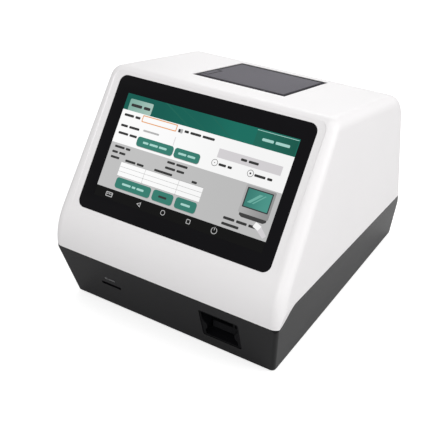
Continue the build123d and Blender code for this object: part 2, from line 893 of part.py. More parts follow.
# Lid with its hinge barrel and the ears that carry the platen
lid_x = ring_in_x - lid_gap
lid_front = -ring_in_y + paper_exit_gap
printer_lid = block((-lid_x, lid_x), (lid_front, hinge_y), (-lid_thickness, 0))
front_corners = printer_lid.edges().filter_by(Axis.Z).sort_by(Axis.Y)[:2]
printer_lid = fillet(front_corners, lid_corner_radius)
printer_lid += cross_rod(lid_barrel_radius, -lid_x, lid_x, (hinge_y, hinge_z))
ear_inner = platen_length / 2 + ear_gap
ear_y = around(platen_y, 2 * ear_half_width)
for side in (-1, 1):
    ear_x = sorted((side * ear_inner, side * (ear_inner + ear_thickness)))
    printer_lid += block(ear_x, ear_y, (platen_z - ear_half_width + ear_gap, -lid_thickness + small))
ear_outer = ear_inner + ear_thickness
ear_bore = platen_shaft_radius + running_clearance
printer_lid -= cross_rod(ear_bore, -ear_outer - 1, ear_outer + 1, (platen_y, platen_z))
printer_lid -= cross_rod(hinge_pin_radius + running_clearance, -lid_x - 1, lid_x + 1, (hinge_y, hinge_z))
printer_lid -= block(
    (-lid_x - 1, release_x + release_width + release_gap),
    (release_y[0] - release_gap, release_y[1] + release_gap),
    (-lid_thickness - 1, 1),
)
save("printer_lid", top * printer_lid)

lid_release = block((release_x, release_x + release_width), release_y, (-release_thickness, 0))
lid_release = fillet(lid_release.edges().filter_by(Axis.Z), release_corner_radius)
lid_release += block(stem_x, stem_y, (stem_low, -release_thickness + small))
save("lid_release", top * lid_release)

# Platen, its gear, and the printer's drive
gear_low = ear_outer + ear_gap
gear_high = gear_low + gear_width
platen = cross_rod(platen_radius, -platen_length / 2, platen_length / 2, (platen_y, platen_z))
platen -= cross_rod(platen_shaft_radius, -platen_length, platen_length, (platen_y, platen_z))
save("platen_roller", top * platen)
platen_shaft = cross_rod(platen_shaft_radius, -ear_outer - ear_gap, gear_high, (platen_y, platen_z))
save("platen_shaft", top * platen_shaft)


def cross_gear(module, teeth, first_tooth, place):
    """Spur gear turning about the local X axis, between the printer's gear planes."""
    face = Plane.YZ * gear_outline(module, teeth, first_tooth)
    return Pos(gear_low, place[0], place[1]) * extrude(face, amount=gear_width, dir=(1, 0, 0))


toward_drive = -gear_angle
platen_gear = cross_gear(
    printer_module, platen_gear_teeth, toward_drive + 180 / platen_gear_teeth, (platen_y, platen_z)
)
platen_gear -= cross_rod(platen_shaft_radius + small, gear_low - 1, gear_high + 1, (platen_y, platen_z))
save("platen_gear", top * platen_gear)
motor_high = ear_inner - motor_plate_thickness - running_clearance
motor_low = motor_high - printer_motor_length
drive_place = (drive_y, drive_z)
drive_gear = cross_gear(printer_module, drive_gear_teeth, toward_drive + 180, drive_place)
drive_gear += cross_rod(printer_motor_shaft_radius, motor_low + gear_width, gear_low + small, drive_place)
save("printer_drive_gear", top * drive_gear)
printer_motor = cross_rod(printer_motor_radius, motor_low, motor_high, drive_place)
printer_motor -= cross_rod(
    printer_motor_shaft_radius + running_clearance, motor_low + gear_width - 1, motor_high + 1, drive_place
)
save("printer_motor", top * printer_motor)
plate_x = (motor_high + running_clearance, ear_inner)
motor_plate = block(
    plate_x,
    around(drive_y, 2 * (printer_motor_radius + motor_plate_margin)),
    (tub_floor + running_clearance, drive_z + printer_motor_radius),
)
motor_plate -= cross_rod(2 * printer_motor_shaft_radius, plate_x[0] - 1, plate_x[1] + 1, drive_place)
save("printer_motor_plate", top * motor_plate)

# Print head under the platen, heater line on it, tear bar in front
print_head = block((-head_half, head_half), head_y, (head_low, head_top - heater_thickness))
save("print_head", top * print_head)
heater_z = (head_top - heater_thickness, head_top)
heater = block((-head_half, head_half), around(platen_y, heater_width), heater_z)
save("heater_line", top * heater)
tear_y = (-ring_in_y + running_clearance, -ring_in_y + running_clearance + tear_bar_thickness)
tear_bar = block((-head_half, head_half), tear_y, (-tear_bar_drop - tear_bar_height, -tear_bar_drop))
save("tear_bar", top * tear_bar)

# Paper roll on its core and spindle
paper_roll = cross_rod(roll_radius, -roll_half, roll_half, (roll_y, roll_z))
paper_roll -= cross_rod(roll_core_radius, -roll_width, roll_width, (roll_y, roll_z))
save("paper_roll", top * paper_roll)
roll_core = cross_rod(roll_core_radius, -roll_half, roll_half, (roll_y, roll_z))
roll_core -= cross_rod(spindle_radius + running_clearance, -roll_width, roll_width, (roll_y, roll_z))
save("roll_core", top * roll_core)
spindle_end = cheek_x + spindle_cheek
roll_spindle = cross_rod(spindle_radius, -spindle_end, spindle_end, (roll_y, roll_z))
save("roll_spindle", top * roll_spindle)

# Cartridge port bezel
half_w = port_half_width
half_h = port_half_height
mouth_right = [
    (half_w, half_h),
    (half_w, port_shoulder),
    (port_waist, port_cheek_top),
    (port_waist, -port_shoulder),
    (half_w - port_rim, -port_shoulder - port_cheek_drop),
    (half_w - port_rim, -half_h),
]
mouth_left = [(-a, b) for a, b in reversed(mouth_right)]
mouth = make_face(Polyline(*mouth_right, *mouth_left, close=True))
port_bezel = extrude(Pos(0, 0, -bezel_drop) * port_outer, amount=-port_depth)
port_flange = extrude(offset(port_outer, flange_thickness), amount=-port_flange_thickness)
port_bezel += Pos(0, 0, -wall - port_gap) * port_flange
port_bezel -= extrude(mouth, amount=2 * port_depth, both=True)
save("port_bezel", port * port_bezel)

# Cartridge tray with its rack, the guide it runs in, and the pinion
tray_y = (front_y + tray_front, front_y + tray_front + tray_length)
tray_x = (port_centre_x - tray_half_width, port_centre_x + tray_half_width)
tray_top = tray_floor_height + tray_thickness
tray = block(tray_x, tray_y, (tray_floor_height, tray_top))
pocket_y = (tray_y[0] + cartridge_front_wall, tray_y[0] + cartridge_front_wall + cartridge_length)
tray -= block(around(port_centre_x, cartridge_width), pocket_y, (tray_top - cartridge_depth, far))
grip_x = around(tray_x[1] - tray_grip_inset, tray_grip_width)
tray += block(grip_x, (tray_y[0], pocket_y[0]), (tray_floor_height, tray_top + tray_grip_height))
rack_pitch = math.pi * rack_module
port_back_y = front_wall_y(tray_floor_height) + port_depth + tray_clearance
pinion_y = port_back_y + tray_travel + rack_end_margin
pinion_pitch_radius = rack_module * pinion_teeth / 2
rack_high_x = tray_x[0]
tooth_half = (rack_pitch / 2 - gear_backlash) / 2
tooth_slant = math.tan(math.radians(tooth_flank_angle))
root_half = tooth_half + tooth_root_share * rack_module * tooth_slant
tip_half = tooth_half - rack_module * tooth_slant
rack_tip_x = rack_high_x - (1 + tooth_root_share) * rack_module
before = int(rack_end_margin / rack_pitch)
after = int((tray_travel + rack_end_margin) / rack_pitch)
for i in range(-before, after + 1):
    y = pinion_y + i * rack_pitch
    tooth = Polyline(
        (rack_high_x + small, y - root_half),
        (rack_tip_x, y - tip_half),
        (rack_tip_x, y + tip_half),
        (rack_high_x + small, y + root_half),
        close=True,
    )
    tray += Pos(0, 0, tray_floor_height) * extrude(make_face(tooth), amount=rack_height)
save("cartridge_tray", tray)

guide_y = (front_y + guide_front, front_y + guide_front + guide_length)
guide_floor = (tray_floor_height - tray_clearance - guide_wall, tray_floor_height - tray_clearance)
guide_left = rack_tip_x - rack_clearance
guide_right = tray_x[1] + tray_clearance
chassis_low = chassis_height + board_seat
chassis_top = chassis_low + chassis_thickness
tray_guide = block((guide_left - guide_wall, guide_right + guide_wall), guide_y, guide_floor)
tray_guide += block((guide_left - guide_wall, guide_left), guide_y, (guide_floor[0], tray_top))
tray_guide += block((guide_right, guide_right + guide_wall), guide_y, (guide_floor[0], tray_top))
leg_x = (guide_left - guide_wall, guide_right + guide_wall - guide_leg)
leg_y = (chassis_y[0], guide_y[1] - guide_leg)
leg_z = (chassis_top + board_seat, guide_floor[1])
for x in leg_x:
    for y in leg_y:
        tray_guide += block((x, x + guide_leg), (y, y + guide_leg), leg_z)
pinion_tip = pinion_pitch_radius + rack_module
pinion_x = rack_high_x - tooth_root_share * rack_module - pinion_pitch_radius - running_clearance
pinion_window = around(pinion_y, 2 * (pinion_tip + rack_clearance))
tray_guide -= block((guide_left - 2 * guide_wall, guide_left + small), pinion_window, (guide_floor[1], far))
save("tray_guide", tray_guide)

pinion_low = tray_floor_height + rack_clearance
bracket_low = tray_top + board_seat
bracket_high = bracket_low + motor_bracket_thickness
pinion = Pos(pinion_x, pinion_y, pinion_low) * extrude(
    gear_outline(rack_module, pinion_teeth, 180 / pinion_teeth), amount=pinion_height
)
shaft_top = bracket_high + tray_motor_shaft
pinion += rod(pinion_shaft_radius, pinion_low + pinion_height - small, shaft_top, (pinion_x, pinion_y))
save("tray_pinion", pinion)
motor_bracket_x = (pinion_x - tray_motor_size / 2 - guide_wall, guide_left)
motor_bracket_y = around(pinion_y, tray_motor_size + guide_wall)
motor_bracket = block(motor_bracket_x, motor_bracket_y, (bracket_low, bracket_high))
motor_bracket += block(
    (motor_bracket_x[0], motor_bracket_x[0] + motor_bracket_thickness),
    motor_bracket_y,
    (chassis_top + board_seat, bracket_high),
)
motor_bracket -= rod(2 * pinion_shaft_radius, 0, far, (pinion_x, pinion_y))
save("motor_bracket", motor_bracket)
tray_motor = block(
    around(pinion_x, tray_motor_size),
    around(pinion_y, tray_motor_size),
    (bracket_high + board_seat, bracket_high + board_seat + tray_motor_length),
)
tray_motor = chamfer(tray_motor.edges().filter_by(Axis.Z), tray_motor_corner_cut)
tray_motor -= rod(pinion_shaft_radius + running_clearance, 0, shaft_top + 1, (pinion_x, pinion_y))
save("tray_motor", tray_motor)

# Optical head over the tray
optics_y = (motor_bracket_y[1] + optics_gap, motor_bracket_y[1] + optics_gap + optics_length)
optics_x = (guide_left - guide_wall, guide_right + guide_wall)
optics_z = (tray_top + board_seat, tray_top + board_seat + optics_height)
optics_middle = (optics_y[0] + optics_y[1]) / 2
tunnel_top = tray_top + optics_tunnel
optical_head = block(optics_x, optics_y, optics_z)
optical_head = chamfer(optical_head.faces().sort_by(Axis.Z)[-1].edges(), optics_edge_cut)
optical_head -= block((guide_left, guide_right), (optics_y[0] - 1, optics_y[1] + 1), (0, tunnel_top))
lens_place = (port_centre_x, optics_middle)
optical_head -= rod(lens_radius + running_clearance, 0, tunnel_top + lens_length + 1, lens_place)
save("optical_head", optical_head)
lens_barrel = rod(lens_radius, tunnel_top + running_clearance, tunnel_top + lens_length, lens_place)
lens_barrel -= rod(lens_bore_radius, 0, tunnel_top + lens_bore_depth, lens_place)
save("lens_barrel", lens_barrel)
optics_board = block(
    (optics_x[0] + optics_board_margin, optics_x[1] - optics_board_margin),
    (optics_y[0] + optics_board_margin, optics_y[1] - optics_board_margin),
    (optics_z[1] + board_seat, optics_z[1] + board_seat + board_thickness),
)
save("optics_board", optics_board)

# Card reader behind the card slot
card_low = card_slot_height - card_socket_height / 2
card_front = front_wall_y(card_low) + wall / math.cos(undercut) + tray_clearance
card_socket = block(
    around(card_slot_x, card_width + 2 * card_socket_wall),
    (card_front, card_front + card_socket_length),
    (card_low, card_low + card_socket_height),
)
card_socket -= block(
    around(card_slot_x, card_width),
    (card_front - 1, card_front + card_slot_depth),
    around(card_slot_height, card_slot_opening),
)
save("card_socket", card_socket)
card_board = block(around(card_slot_x, 2 * card_board_half), card_board_y, (card_board_low, card_board_top))
for x, y in card_places:
    card_board -= rod(screw_radius + screw_hole_clearance, 0, far, (x, y))
save("card_board", card_board)

# Chassis plate, boards, spacers and screws
chassis_plate = block((-chassis_half, chassis_half), chassis_y, (chassis_low, chassis_top))
for x, y in chassis_places:
    chassis_plate -= rod(screw_radius + screw_hole_clearance, 0, far, (x, y))
save("chassis_plate", chassis_plate)
board_low = chassis_top + board_lift
board_top = board_low + board_thickness
main_x = (board_margin - chassis_half, guide_left - guide_wall - main_board_gap)
main_y = (front_y + main_board_front, front_y + main_board_front + main_board_length)
power_x = (main_x[0], main_x[0] + power_board_width)
power_y = (main_y[1] + power_board_gap, main_y[1] + power_board_gap + power_board_length)


def corner_places(x, y, inset):
    """Places a little inside the four corners of a board."""
    return [(a, b) for a in (x[0] + inset, x[1] - inset) for b in (y[0] + inset, y[1] - inset)]


main_places = corner_places(main_x, main_y, board_hole_inset)
power_places = corner_places(power_x, power_y, board_hole_inset)
main_board = block(main_x, main_y, (board_low, board_top))
power_board = block(power_x, power_y, (board_low, board_top))
for x, y in main_places:
    main_board -= rod(screw_radius + screw_hole_clearance, 0, far, (x, y))
for x, y in power_places:
    power_board -= rod(screw_radius + screw_hole_clearance, 0, far, (x, y))
save("main_board", main_board)
save("power_board", power_board)
spacers = []
for x, y in main_places + power_places:
    spacer = rod(spacer_radius, chassis_top + small, board_low - small, (x, y))
    spacers.append(spacer - rod(screw_radius + thread_clearance, board_low - screw_reach, far, (x, y)))
save("board_spacers", Compound(children=spacers))
board_screws = [Pos(x, y, board_top + small) * small_screw for x, y in main_places + power_places]
board_screws += [Pos(x, y, card_board_top + small) * small_screw for x, y in card_places]
save("board_screws", Compound(children=board_screws))
chassis_screws = [Pos(x, y, chassis_top + small) * small_screw for x, y in chassis_places]
save("chassis_screws", Compound(children=chassis_screws))

main_middle = ((main_x[0] + main_x[1]) / 2, (main_y[0] + main_y[1]) / 2)
chip_seat = board_top + board_seat
ribbon_x = (main_middle[0], main_middle[0] + ribbon_width)
ribbon_low = chip_seat + connector_height + board_seat
ribbon_end = main_y[0] + connector_inset + connector_depth
chip_x = around(main_middle[0] - chip_offset, chip_size)
chip_z = (chip_seat, chip_seat + chip_height)
chip = block(chip_x, around(main_middle[1], chip_size), chip_z)
memory_y = main_middle[1] - (chip_size + memory_size) / 2 - memory_gap
memory = block(chip_x, around(memory_y, memory_size), chip_z)
connector = block(
    (ribbon_x[0] - connector_margin, ribbon_x[1] + connector_margin),
    (main_y[0] + connector_inset, ribbon_end),
    (chip_seat, chip_seat + connector_height),
)
board_parts = [chip, memory, connector]
for i in range(3):
    place = (main_x[1] - capacitor_inset, main_middle[1] + (i - 1) * capacitor_pitch)
    board_parts.append(rod(capacitor_radius, chip_seat, chip_seat + capacitor_height, place))
save("main_board_parts", Compound(children=board_parts))
sink_low = chip_seat + chip_height + board_seat
sink_x = around(main_middle[0] - chip_offset, heat_sink_size)
sink_y = around(main_middle[1], heat_sink_size)
heat_sink = block(sink_x, sink_y, (sink_low, sink_low + heat_sink_height))
fin_pitch = heat_sink_size / heat_sink_fins
for i in range(heat_sink_fins):
    x = sink_x[0] + (i + 0.5) * fin_pitch
    groove = around(x, fin_pitch / 2)
    heat_sink -= block(groove, (sink_y[0] - 1, sink_y[1] + 1), (sink_low + heat_sink_base, far))
save("heat_sink", heat_sink)
power_middle = (power_y[0] + power_y[1]) / 2
transformer_x = around(power_x[0] + transformer_inset, transformer_size)
transformer_y = around(power_middle, transformer_size)
power_parts = [block(transformer_x, transformer_y, (chip_seat, chip_seat + transformer_height))]
for i in range(3):
    place = (power_x[0] + power_capacitor_inset + i * capacitor_pitch, power_middle)
    power_parts.append(rod(capacitor_radius, chip_seat, chip_seat + capacitor_height, place))
save("power_board_parts", Compound(children=power_parts))

# Flat ribbon from the display down to the main board
ribbon_y = glass_y - ribbon_drop * math.cos(tilt) - (bracket_top + lcd_air) * math.sin(tilt)
ribbon_top = glass_centre_height - ribbon_drop * math.sin(tilt) + (bracket_top + lcd_air) * math.cos(tilt)
ribbon_back = ribbon_y - ribbon_thickness
ribbon = block(ribbon_x, (ribbon_back, ribbon_y), (ribbon_low, ribbon_top - 2 * ribbon_thickness))
ribbon += block(ribbon_x, (ribbon_back, ribbon_end), (ribbon_low, ribbon_low + ribbon_thickness))
save("display_ribbon", ribbon)

# Rear panel and its sockets, in the frame of the rear wall
panel_top = -wall - panel_gap
panel_low = panel_top - panel_thickness
socket_top = panel_top + socket_proud
panel_plate = block(
    around(0, panel_opening_width + 2 * panel_border),
    around(0, panel_opening_height + 2 * panel_border),
    (panel_low, panel_top),
)


def socket_body(offset_x, width, height, length):
    """Outer block of a socket, standing a little out of the panel."""
    return block(around(offset_x, width), around(0, height), (socket_top - length, socket_top))


def panel_cut(offset_x, width, height):
    """Hole in the panel for a socket."""
    cut_x = around(offset_x, width + 2 * socket_fit)
    cut_y = around(0, height + 2 * socket_fit)
    return block(cut_x, cut_y, (panel_low - 1, 1))


panel_plate -= panel_cut(dc_inlet_offset, dc_inlet_size, dc_inlet_size)
panel_plate -= panel_cut(switch_offset, switch_width, switch_height)
panel_plate -= panel_cut(usb_offset, usb_width, usb_height)
panel_plate -= panel_cut(lan_offset, lan_size, lan_size)
panel_plate -= panel_cut(serial_offset, serial_width, serial_height)
save("rear_panel", panel * panel_plate)

dc_inlet = socket_body(dc_inlet_offset, dc_inlet_size, dc_inlet_size, dc_inlet_length)
dc_bottom = socket_top - dc_bore_depth
dc_inlet -= rod(dc_bore_radius, dc_bottom, 1, (dc_inlet_offset, 0))
dc_inlet += rod(dc_pin_radius, dc_bottom - small, socket_top - dc_pin_recess, (dc_inlet_offset, 0))
save("dc_inlet", panel * dc_inlet)

usb_sockets = socket_body(usb_offset, usb_width, usb_height, usb_length)
usb_bottom = socket_top - usb_port_depth
usb_x = around(usb_offset, usb_port_width)
for side in (-1, 1):
    middle_y = side * usb_height / 4
    usb_sockets -= block(usb_x, around(middle_y, usb_port_height), (usb_bottom, 1))
    tongue = block(
        around(usb_offset, usb_port_width - 2 * usb_tongue_margin),
        (middle_y + usb_tongue_offset, middle_y + usb_tongue_offset + usb_tongue_thickness),
        (usb_bottom - small, socket_top - usb_tongue_recess),
    )
    usb_sockets += tongue
save("usb_sockets", panel * usb_sockets)

lan_socket = socket_body(lan_offset, lan_size, lan_size, lan_length)
lan_port_y = around(-lan_port_drop, lan_port_height)
lan_socket -= block(around(lan_offset, lan_port_width), lan_port_y, (socket_top - lan_port_depth, 1))
save("lan_socket", panel * lan_socket)

serial_socket = block(
    around(serial_offset, serial_flange_width),
    around(0, serial_flange_height),
    (panel_top + small, socket_top),
)
serial_socket += socket_body(serial_offset, serial_width, serial_height, serial_length)
serial_shell = block(
    around(serial_offset, serial_width),
    around(0, serial_height),
    (socket_top - small, socket_top + serial_reach),
)
serial_shell = fillet(serial_shell.edges().filter_by(Axis.Z), serial_corner_radius)
serial_socket += serial_shell
serial_bottom = socket_top - serial_pin_recess
serial_socket -= block(
    around(serial_offset, serial_width - 2 * serial_shell_wall),
    around(0, serial_height - 2 * serial_shell_wall),
    (serial_bottom, far),
)
for i in range(serial_pins):
    pin_x = serial_offset + (i - (serial_pins - 1) / 2) * serial_pin_pitch
    pin_top = socket_top + serial_reach - serial_pin_recess
    serial_socket += rod(serial_pin_radius, serial_bottom - small, pin_top, (pin_x, serial_row_offset))
save("serial_socket", panel * serial_socket)

# Rocker switch
pivot_z = socket_top - rocker_pivot_depth
well_x = switch_width / 2 - switch_wall
well_y = switch_height / 2 - switch_wall
rocker_radius = well_x - rocker_gap
switch_frame = socket_body(switch_offset, switch_width, switch_height, switch_length)
switch_frame -= block(
    around(switch_offset, 2 * well_x), around(0, 2 * well_y), (pivot_z - rocker_radius - rocker_gap, 1)
)


def upright_rod(radius, reach):
    """Round bar through the rocker's pivot along the local Y axis."""
    bar = Cylinder(radius, 2 * reach)
    return Pos(switch_offset, 0, pivot_z) * Rot(90, 0, 0) * bar


switch_frame -= upright_rod(rocker_pin_radius + running_clearance, switch_height / 2 - switch_wall / 4)
save("power_switch", panel * switch_frame)
half_throw = math.radians(rocker_throw / 2)
crown = rocker_pivot_depth + socket_proud
wing = rocker_radius * 1.2
rocker_top = [(-wing, -wing), (wing, -wing), (wing, crown + wing * math.tan(half_throw))]
rocker_top += [(0, crown), (-wing, crown + wing * math.tan(half_throw))]
rocker_face = make_face(Polyline(*[(a, 0, b) for a, b in rocker_top], close=True))
rocker_bound = extrude(rocker_face, amount=switch_height, dir=(0, 1, 0), both=True)
rocker = Cylinder(rocker_radius, 2 * (well_y - rocker_gap))
rocker = (Rot(90, 0, 0) * rocker) & rocker_bound
rocker += Rot(90, 0, 0) * Cylinder(rocker_pin_radius, switch_height - switch_wall)
rocker = Pos(switch_offset, 0, pivot_z) * Rot(0, -rocker_throw / 2, 0) * rocker
save("power_rocker", panel * rocker)

# Fan behind the grille
fan_top = -wall - board_seat
fan_low = fan_top - fan_depth
fan_frame = block(around(0, fan_size), around(0, fan_size), (fan_low, fan_top))
fan_frame -= rod(fan_bore_radius, fan_low - 1, 1)
hub_high = fan_low + fan_strut_thickness
fan_frame += rod(fan_hub_radius, fan_low, hub_high)
for i in range(fan_struts):
    strut = block((fan_hub_radius / 2, fan_bore_radius + 1), around(0, fan_strut_width), (fan_low, hub_high))
    fan_frame += Rot(0, 0, fan_strut_angle + 360 * i / fan_struts) * strut
fan_frame -= rod(fan_shaft_radius + running_clearance, fan_low - 1, hub_high + 1)
for place in fan_corners:
    fan_frame -= rod(screw_radius + thread_clearance, fan_low - 1, 1, place)
upright_edges = fan_frame.edges().filter_by(Axis.Z)
corner_edges = upright_edges.group_by(lambda e: round(math.hypot(e.center().X, e.center().Y)))[-1]
fan_frame = fillet(corner_edges, fan_corner_radius)
save("fan_frame", fan_frame_place * fan_frame)
rotor_low = hub_high + fan_rotor_gap
fan_rotor = rod(fan_hub_radius, rotor_low, rotor_low + fan_rotor_height)
fan_rotor += rod(fan_shaft_radius, fan_low + small, rotor_low + small)
blade_tip = fan_bore_radius - fan_blade_tip_gap
blade_length = blade_tip - fan_hub_radius + fan_blade_root
for i in range(fan_blade_count):
    blade = Rot(fan_blade_pitch, 0, 0) * Box(blade_length, fan_blade_chord, fan_blade_thickness)
    blade = Pos(blade_tip - blade_length / 2, 0, rotor_low + fan_rotor_height / 2) * blade
    fan_rotor += Rot(0, 0, 360 * i / fan_blade_count) * blade
save("fan_rotor", fan_frame_place * fan_rotor)
fan_screw = screw(screw_head_radius, screw_head_height, screw_radius, wall + fan_screw_reach)
fan_screws = [fan_frame_place * Pos(x, y, small) * fan_screw for x, y in fan_corners]
save("fan_screws", Compound(children=fan_screws))

# Housing screws and feet
housing_screws = []
for x, y in housing_places:
    length = housing_seam(y) + housing_screw_grip - screw_end_gap - (floor_z + housing_screw_recess)
    one = screw(housing_screw_head_radius, housing_screw_head_height, housing_screw_radius, length)
    housing_screws.append(Pos(x, y, floor_z + housing_screw_recess - small) * Rot(180, 0, 0) * one)
save("housing_screws", Compound(children=housing_screws))
feet = []
for x, y in foot_places:
    foot = rod(foot_radius, 0, floor_z + foot_recess - small, (x, y))
    feet.append(chamfer(foot.faces().sort_by(Axis.Z)[0].edges(), foot_bevel))
save("rubber_feet", Compound(children=feet))
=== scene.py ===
"""Looks of the immunoassay analyzer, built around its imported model.

Blender's lengths and the studio's are metres. The sizes of the sub-assemblies are millimetres in the local
frame that each is drawn in, unless a line says otherwise.
"""

import logging
import math
from dataclasses import dataclass, field
from enum import Enum
from typing import Any, Iterable, Optional, Sequence

import bmesh
import bpy
from mathutils import Matrix, Vector


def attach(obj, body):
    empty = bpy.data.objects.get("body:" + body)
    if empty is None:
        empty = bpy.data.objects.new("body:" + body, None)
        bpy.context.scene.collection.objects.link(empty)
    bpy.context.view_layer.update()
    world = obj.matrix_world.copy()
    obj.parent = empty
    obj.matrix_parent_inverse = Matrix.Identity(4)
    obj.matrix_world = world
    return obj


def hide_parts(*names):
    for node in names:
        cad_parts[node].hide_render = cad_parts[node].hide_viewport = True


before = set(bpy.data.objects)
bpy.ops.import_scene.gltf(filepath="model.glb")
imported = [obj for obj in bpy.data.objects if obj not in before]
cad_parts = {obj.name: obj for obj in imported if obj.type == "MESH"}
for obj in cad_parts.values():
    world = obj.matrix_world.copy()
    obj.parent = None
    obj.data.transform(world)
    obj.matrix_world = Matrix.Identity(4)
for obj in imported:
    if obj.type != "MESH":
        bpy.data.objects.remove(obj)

log = logging.getLogger("analyzer")

MM = 0.001
Colour = tuple[float, float, float]
Point2 = tuple[float, float]
Span = tuple[float, float]

# Distances in metres within which points of a mesh are one point
NODE_MERGE = 2e-6
PIECE_MERGE = 1e-6
# Least angles, in degrees, of an edge that isn't flat, is sharp, or gets softened
FLAT_ANGLE = 0.5
NODE_SHARP = 28.0
PIECE_SHARP = 32.0
SOFTENED_ANGLE = 35.0


class Body(str, Enum):
    """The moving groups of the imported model."""

    HOUSING = "housing"
    LID = "lid"
    RELEASE = "release"
    PLATEN = "platen"
    DRIVE = "printer_drive"
    HEAD = "thermal_head"
    PAPER = "paper"
    TRAY = "tray"
    PINION = "pinion"
    ROCKER = "rocker"
    FAN = "fan"


# Node trees


class Bench:
    """A node tree with one way of adding nodes."""

    def __init__(self, tree: bpy.types.NodeTree) -> None:
        """Keep the tree that nodes are added to.

        Args:
            tree: Shader or geometry node tree.
        """
        self.tree = tree

    def add(
        self, kind: str, settings: Optional[dict[str, Any]] = None, inputs: Optional[dict[Any, Any]] = None
    ) -> Any:
        """Add a node, set its options and then its sockets.

        Args:
            kind: Blender's name for the node type.
            settings: Options of the node, set before its sockets; a ramp's stops go under "stops".
            inputs: Values, sockets or maths values by socket name or number.

        Returns:
            The new node.
        """
        node = self.tree.nodes.new(kind)
        for name, value in (settings or {}).items():
            if name == "stops":
                self._stops(node, value)
            else:
                setattr(node, name, value)
        for name, value in (inputs or {}).items():
            self.fill(node.inputs[name], value)
        return node

    def fill(self, socket: Any, value: Any) -> None:
        """Set or link an input socket.

        Args:
            socket: The input.
            value: Number, colour, maths value or output socket.
        """
        if isinstance(value, Value):
            value = value.socket
        if isinstance(value, bpy.types.NodeSocket):
            self.tree.links.new(value, socket)
        elif socket.type == "RGBA" and len(value) == 3:
            socket.default_value = (*value, 1.0)
        else:
            socket.default_value = value

    def _stops(self, node: Any, stops: Sequence[tuple[float, Colour]]) -> None:
        """Set a colour ramp's stops.

        Args:
            node: Colour ramp node.
            stops: Places and colours, in order.
        """
        ramp = node.color_ramp
        while len(ramp.elements) < len(stops):
            ramp.elements.new(1.0)
        for element, (place, colour) in zip(ramp.elements, stops):
            element.position = place
            element.color = (*colour, 1.0)

    def math(self, operation: str, *values: Any) -> "Value":
        """Add a Math node.

        Args:
            operation: Name of the operation.
            values: Numbers or maths values.

        Returns:
            The result as a maths value.
        """
        node = self.add("ShaderNodeMath", {"operation": operation}, dict(enumerate(values)))
        return Value(self, node.outputs[0])

    def blend(self, factor: Any, first: Any, second: Any) -> Any:
        """Mix two colours.

        Args:
            factor: Share of the second colour.
            first: Colour or socket.
            second: Colour or socket.

        Returns:
            The colour socket.
        """
        # Sockets 6 and 7 and output 2 are the ones that carry a colour
        node = self.add("ShaderNodeMix", {"data_type": "RGBA"}, {0: factor, 6: first, 7: second})
        return node.outputs[2]


class Value:
    """A number in a node tree that takes part in Python arithmetic."""

    def __init__(self, bench: Bench, socket: bpy.types.NodeSocket) -> None:
        """Wrap an output socket.

        Args:
            bench: Tree that the socket is in.
            socket: Output that carries the number.
        """
        self.bench = bench
        self.socket = socket

    def __add__(self, other: Any) -> "Value":
        """Sum with another value."""
        return self.bench.math("ADD", self, other)

    __radd__ = __add__

    def __sub__(self, other: Any) -> "Value":
        """Difference from another value."""
        return self.bench.math("SUBTRACT", self, other)

    def __rsub__(self, other: Any) -> "Value":
        """Another value less this one."""
        return self.bench.math("SUBTRACT", other, self)

    def __mul__(self, other: Any) -> "Value":
        """Product with another value."""
        return self.bench.math("MULTIPLY", self, other)

    __rmul__ = __mul__

    def __truediv__(self, other: Any) -> "Value":
        """Quotient by another value."""
        return self.bench.math("DIVIDE", self, other)

    def __rtruediv__(self, other: Any) -> "Value":
        """Quotient of another value by this one."""
        return self.bench.math("DIVIDE", other, self)

    def __gt__(self, other: Any) -> "Value":
        """One where this value is the greater."""
        return self.bench.math("GREATER_THAN", self, other)

    def __lt__(self, other: Any) -> "Value":
        """One where this value is the smaller."""
        return self.bench.math("LESS_THAN", self, other)

    def __abs__(self) -> "Value":
        """Size of this value without its sign."""
        return self.bench.math("ABSOLUTE", self)

    def top(self, other: Any) -> "Value":
        """The greater of two values."""
        return self.bench.math("MAXIMUM", self, other)

    def low(self, other: Any) -> "Value":
        """The smaller of two values."""
        return self.bench.math("MINIMUM", self, other)

    def ease(self, start: float, end: float) -> "Value":
        """Smooth rise from zero to one between two values.

        Args:
            start: Where it is zero.
            end: Where it is one.

        Returns:
            The eased value.
        """
        share = ((self - start) / (end - start)).top(0.0).low(1.0)
        return share * share * (3.0 - 2.0 * share)

    def swing(self, amount: float) -> "Value":
        """Noise from 0 to 1 as a swing to both sides of zero, of this amount in all."""
        return (self - 0.5) * amount


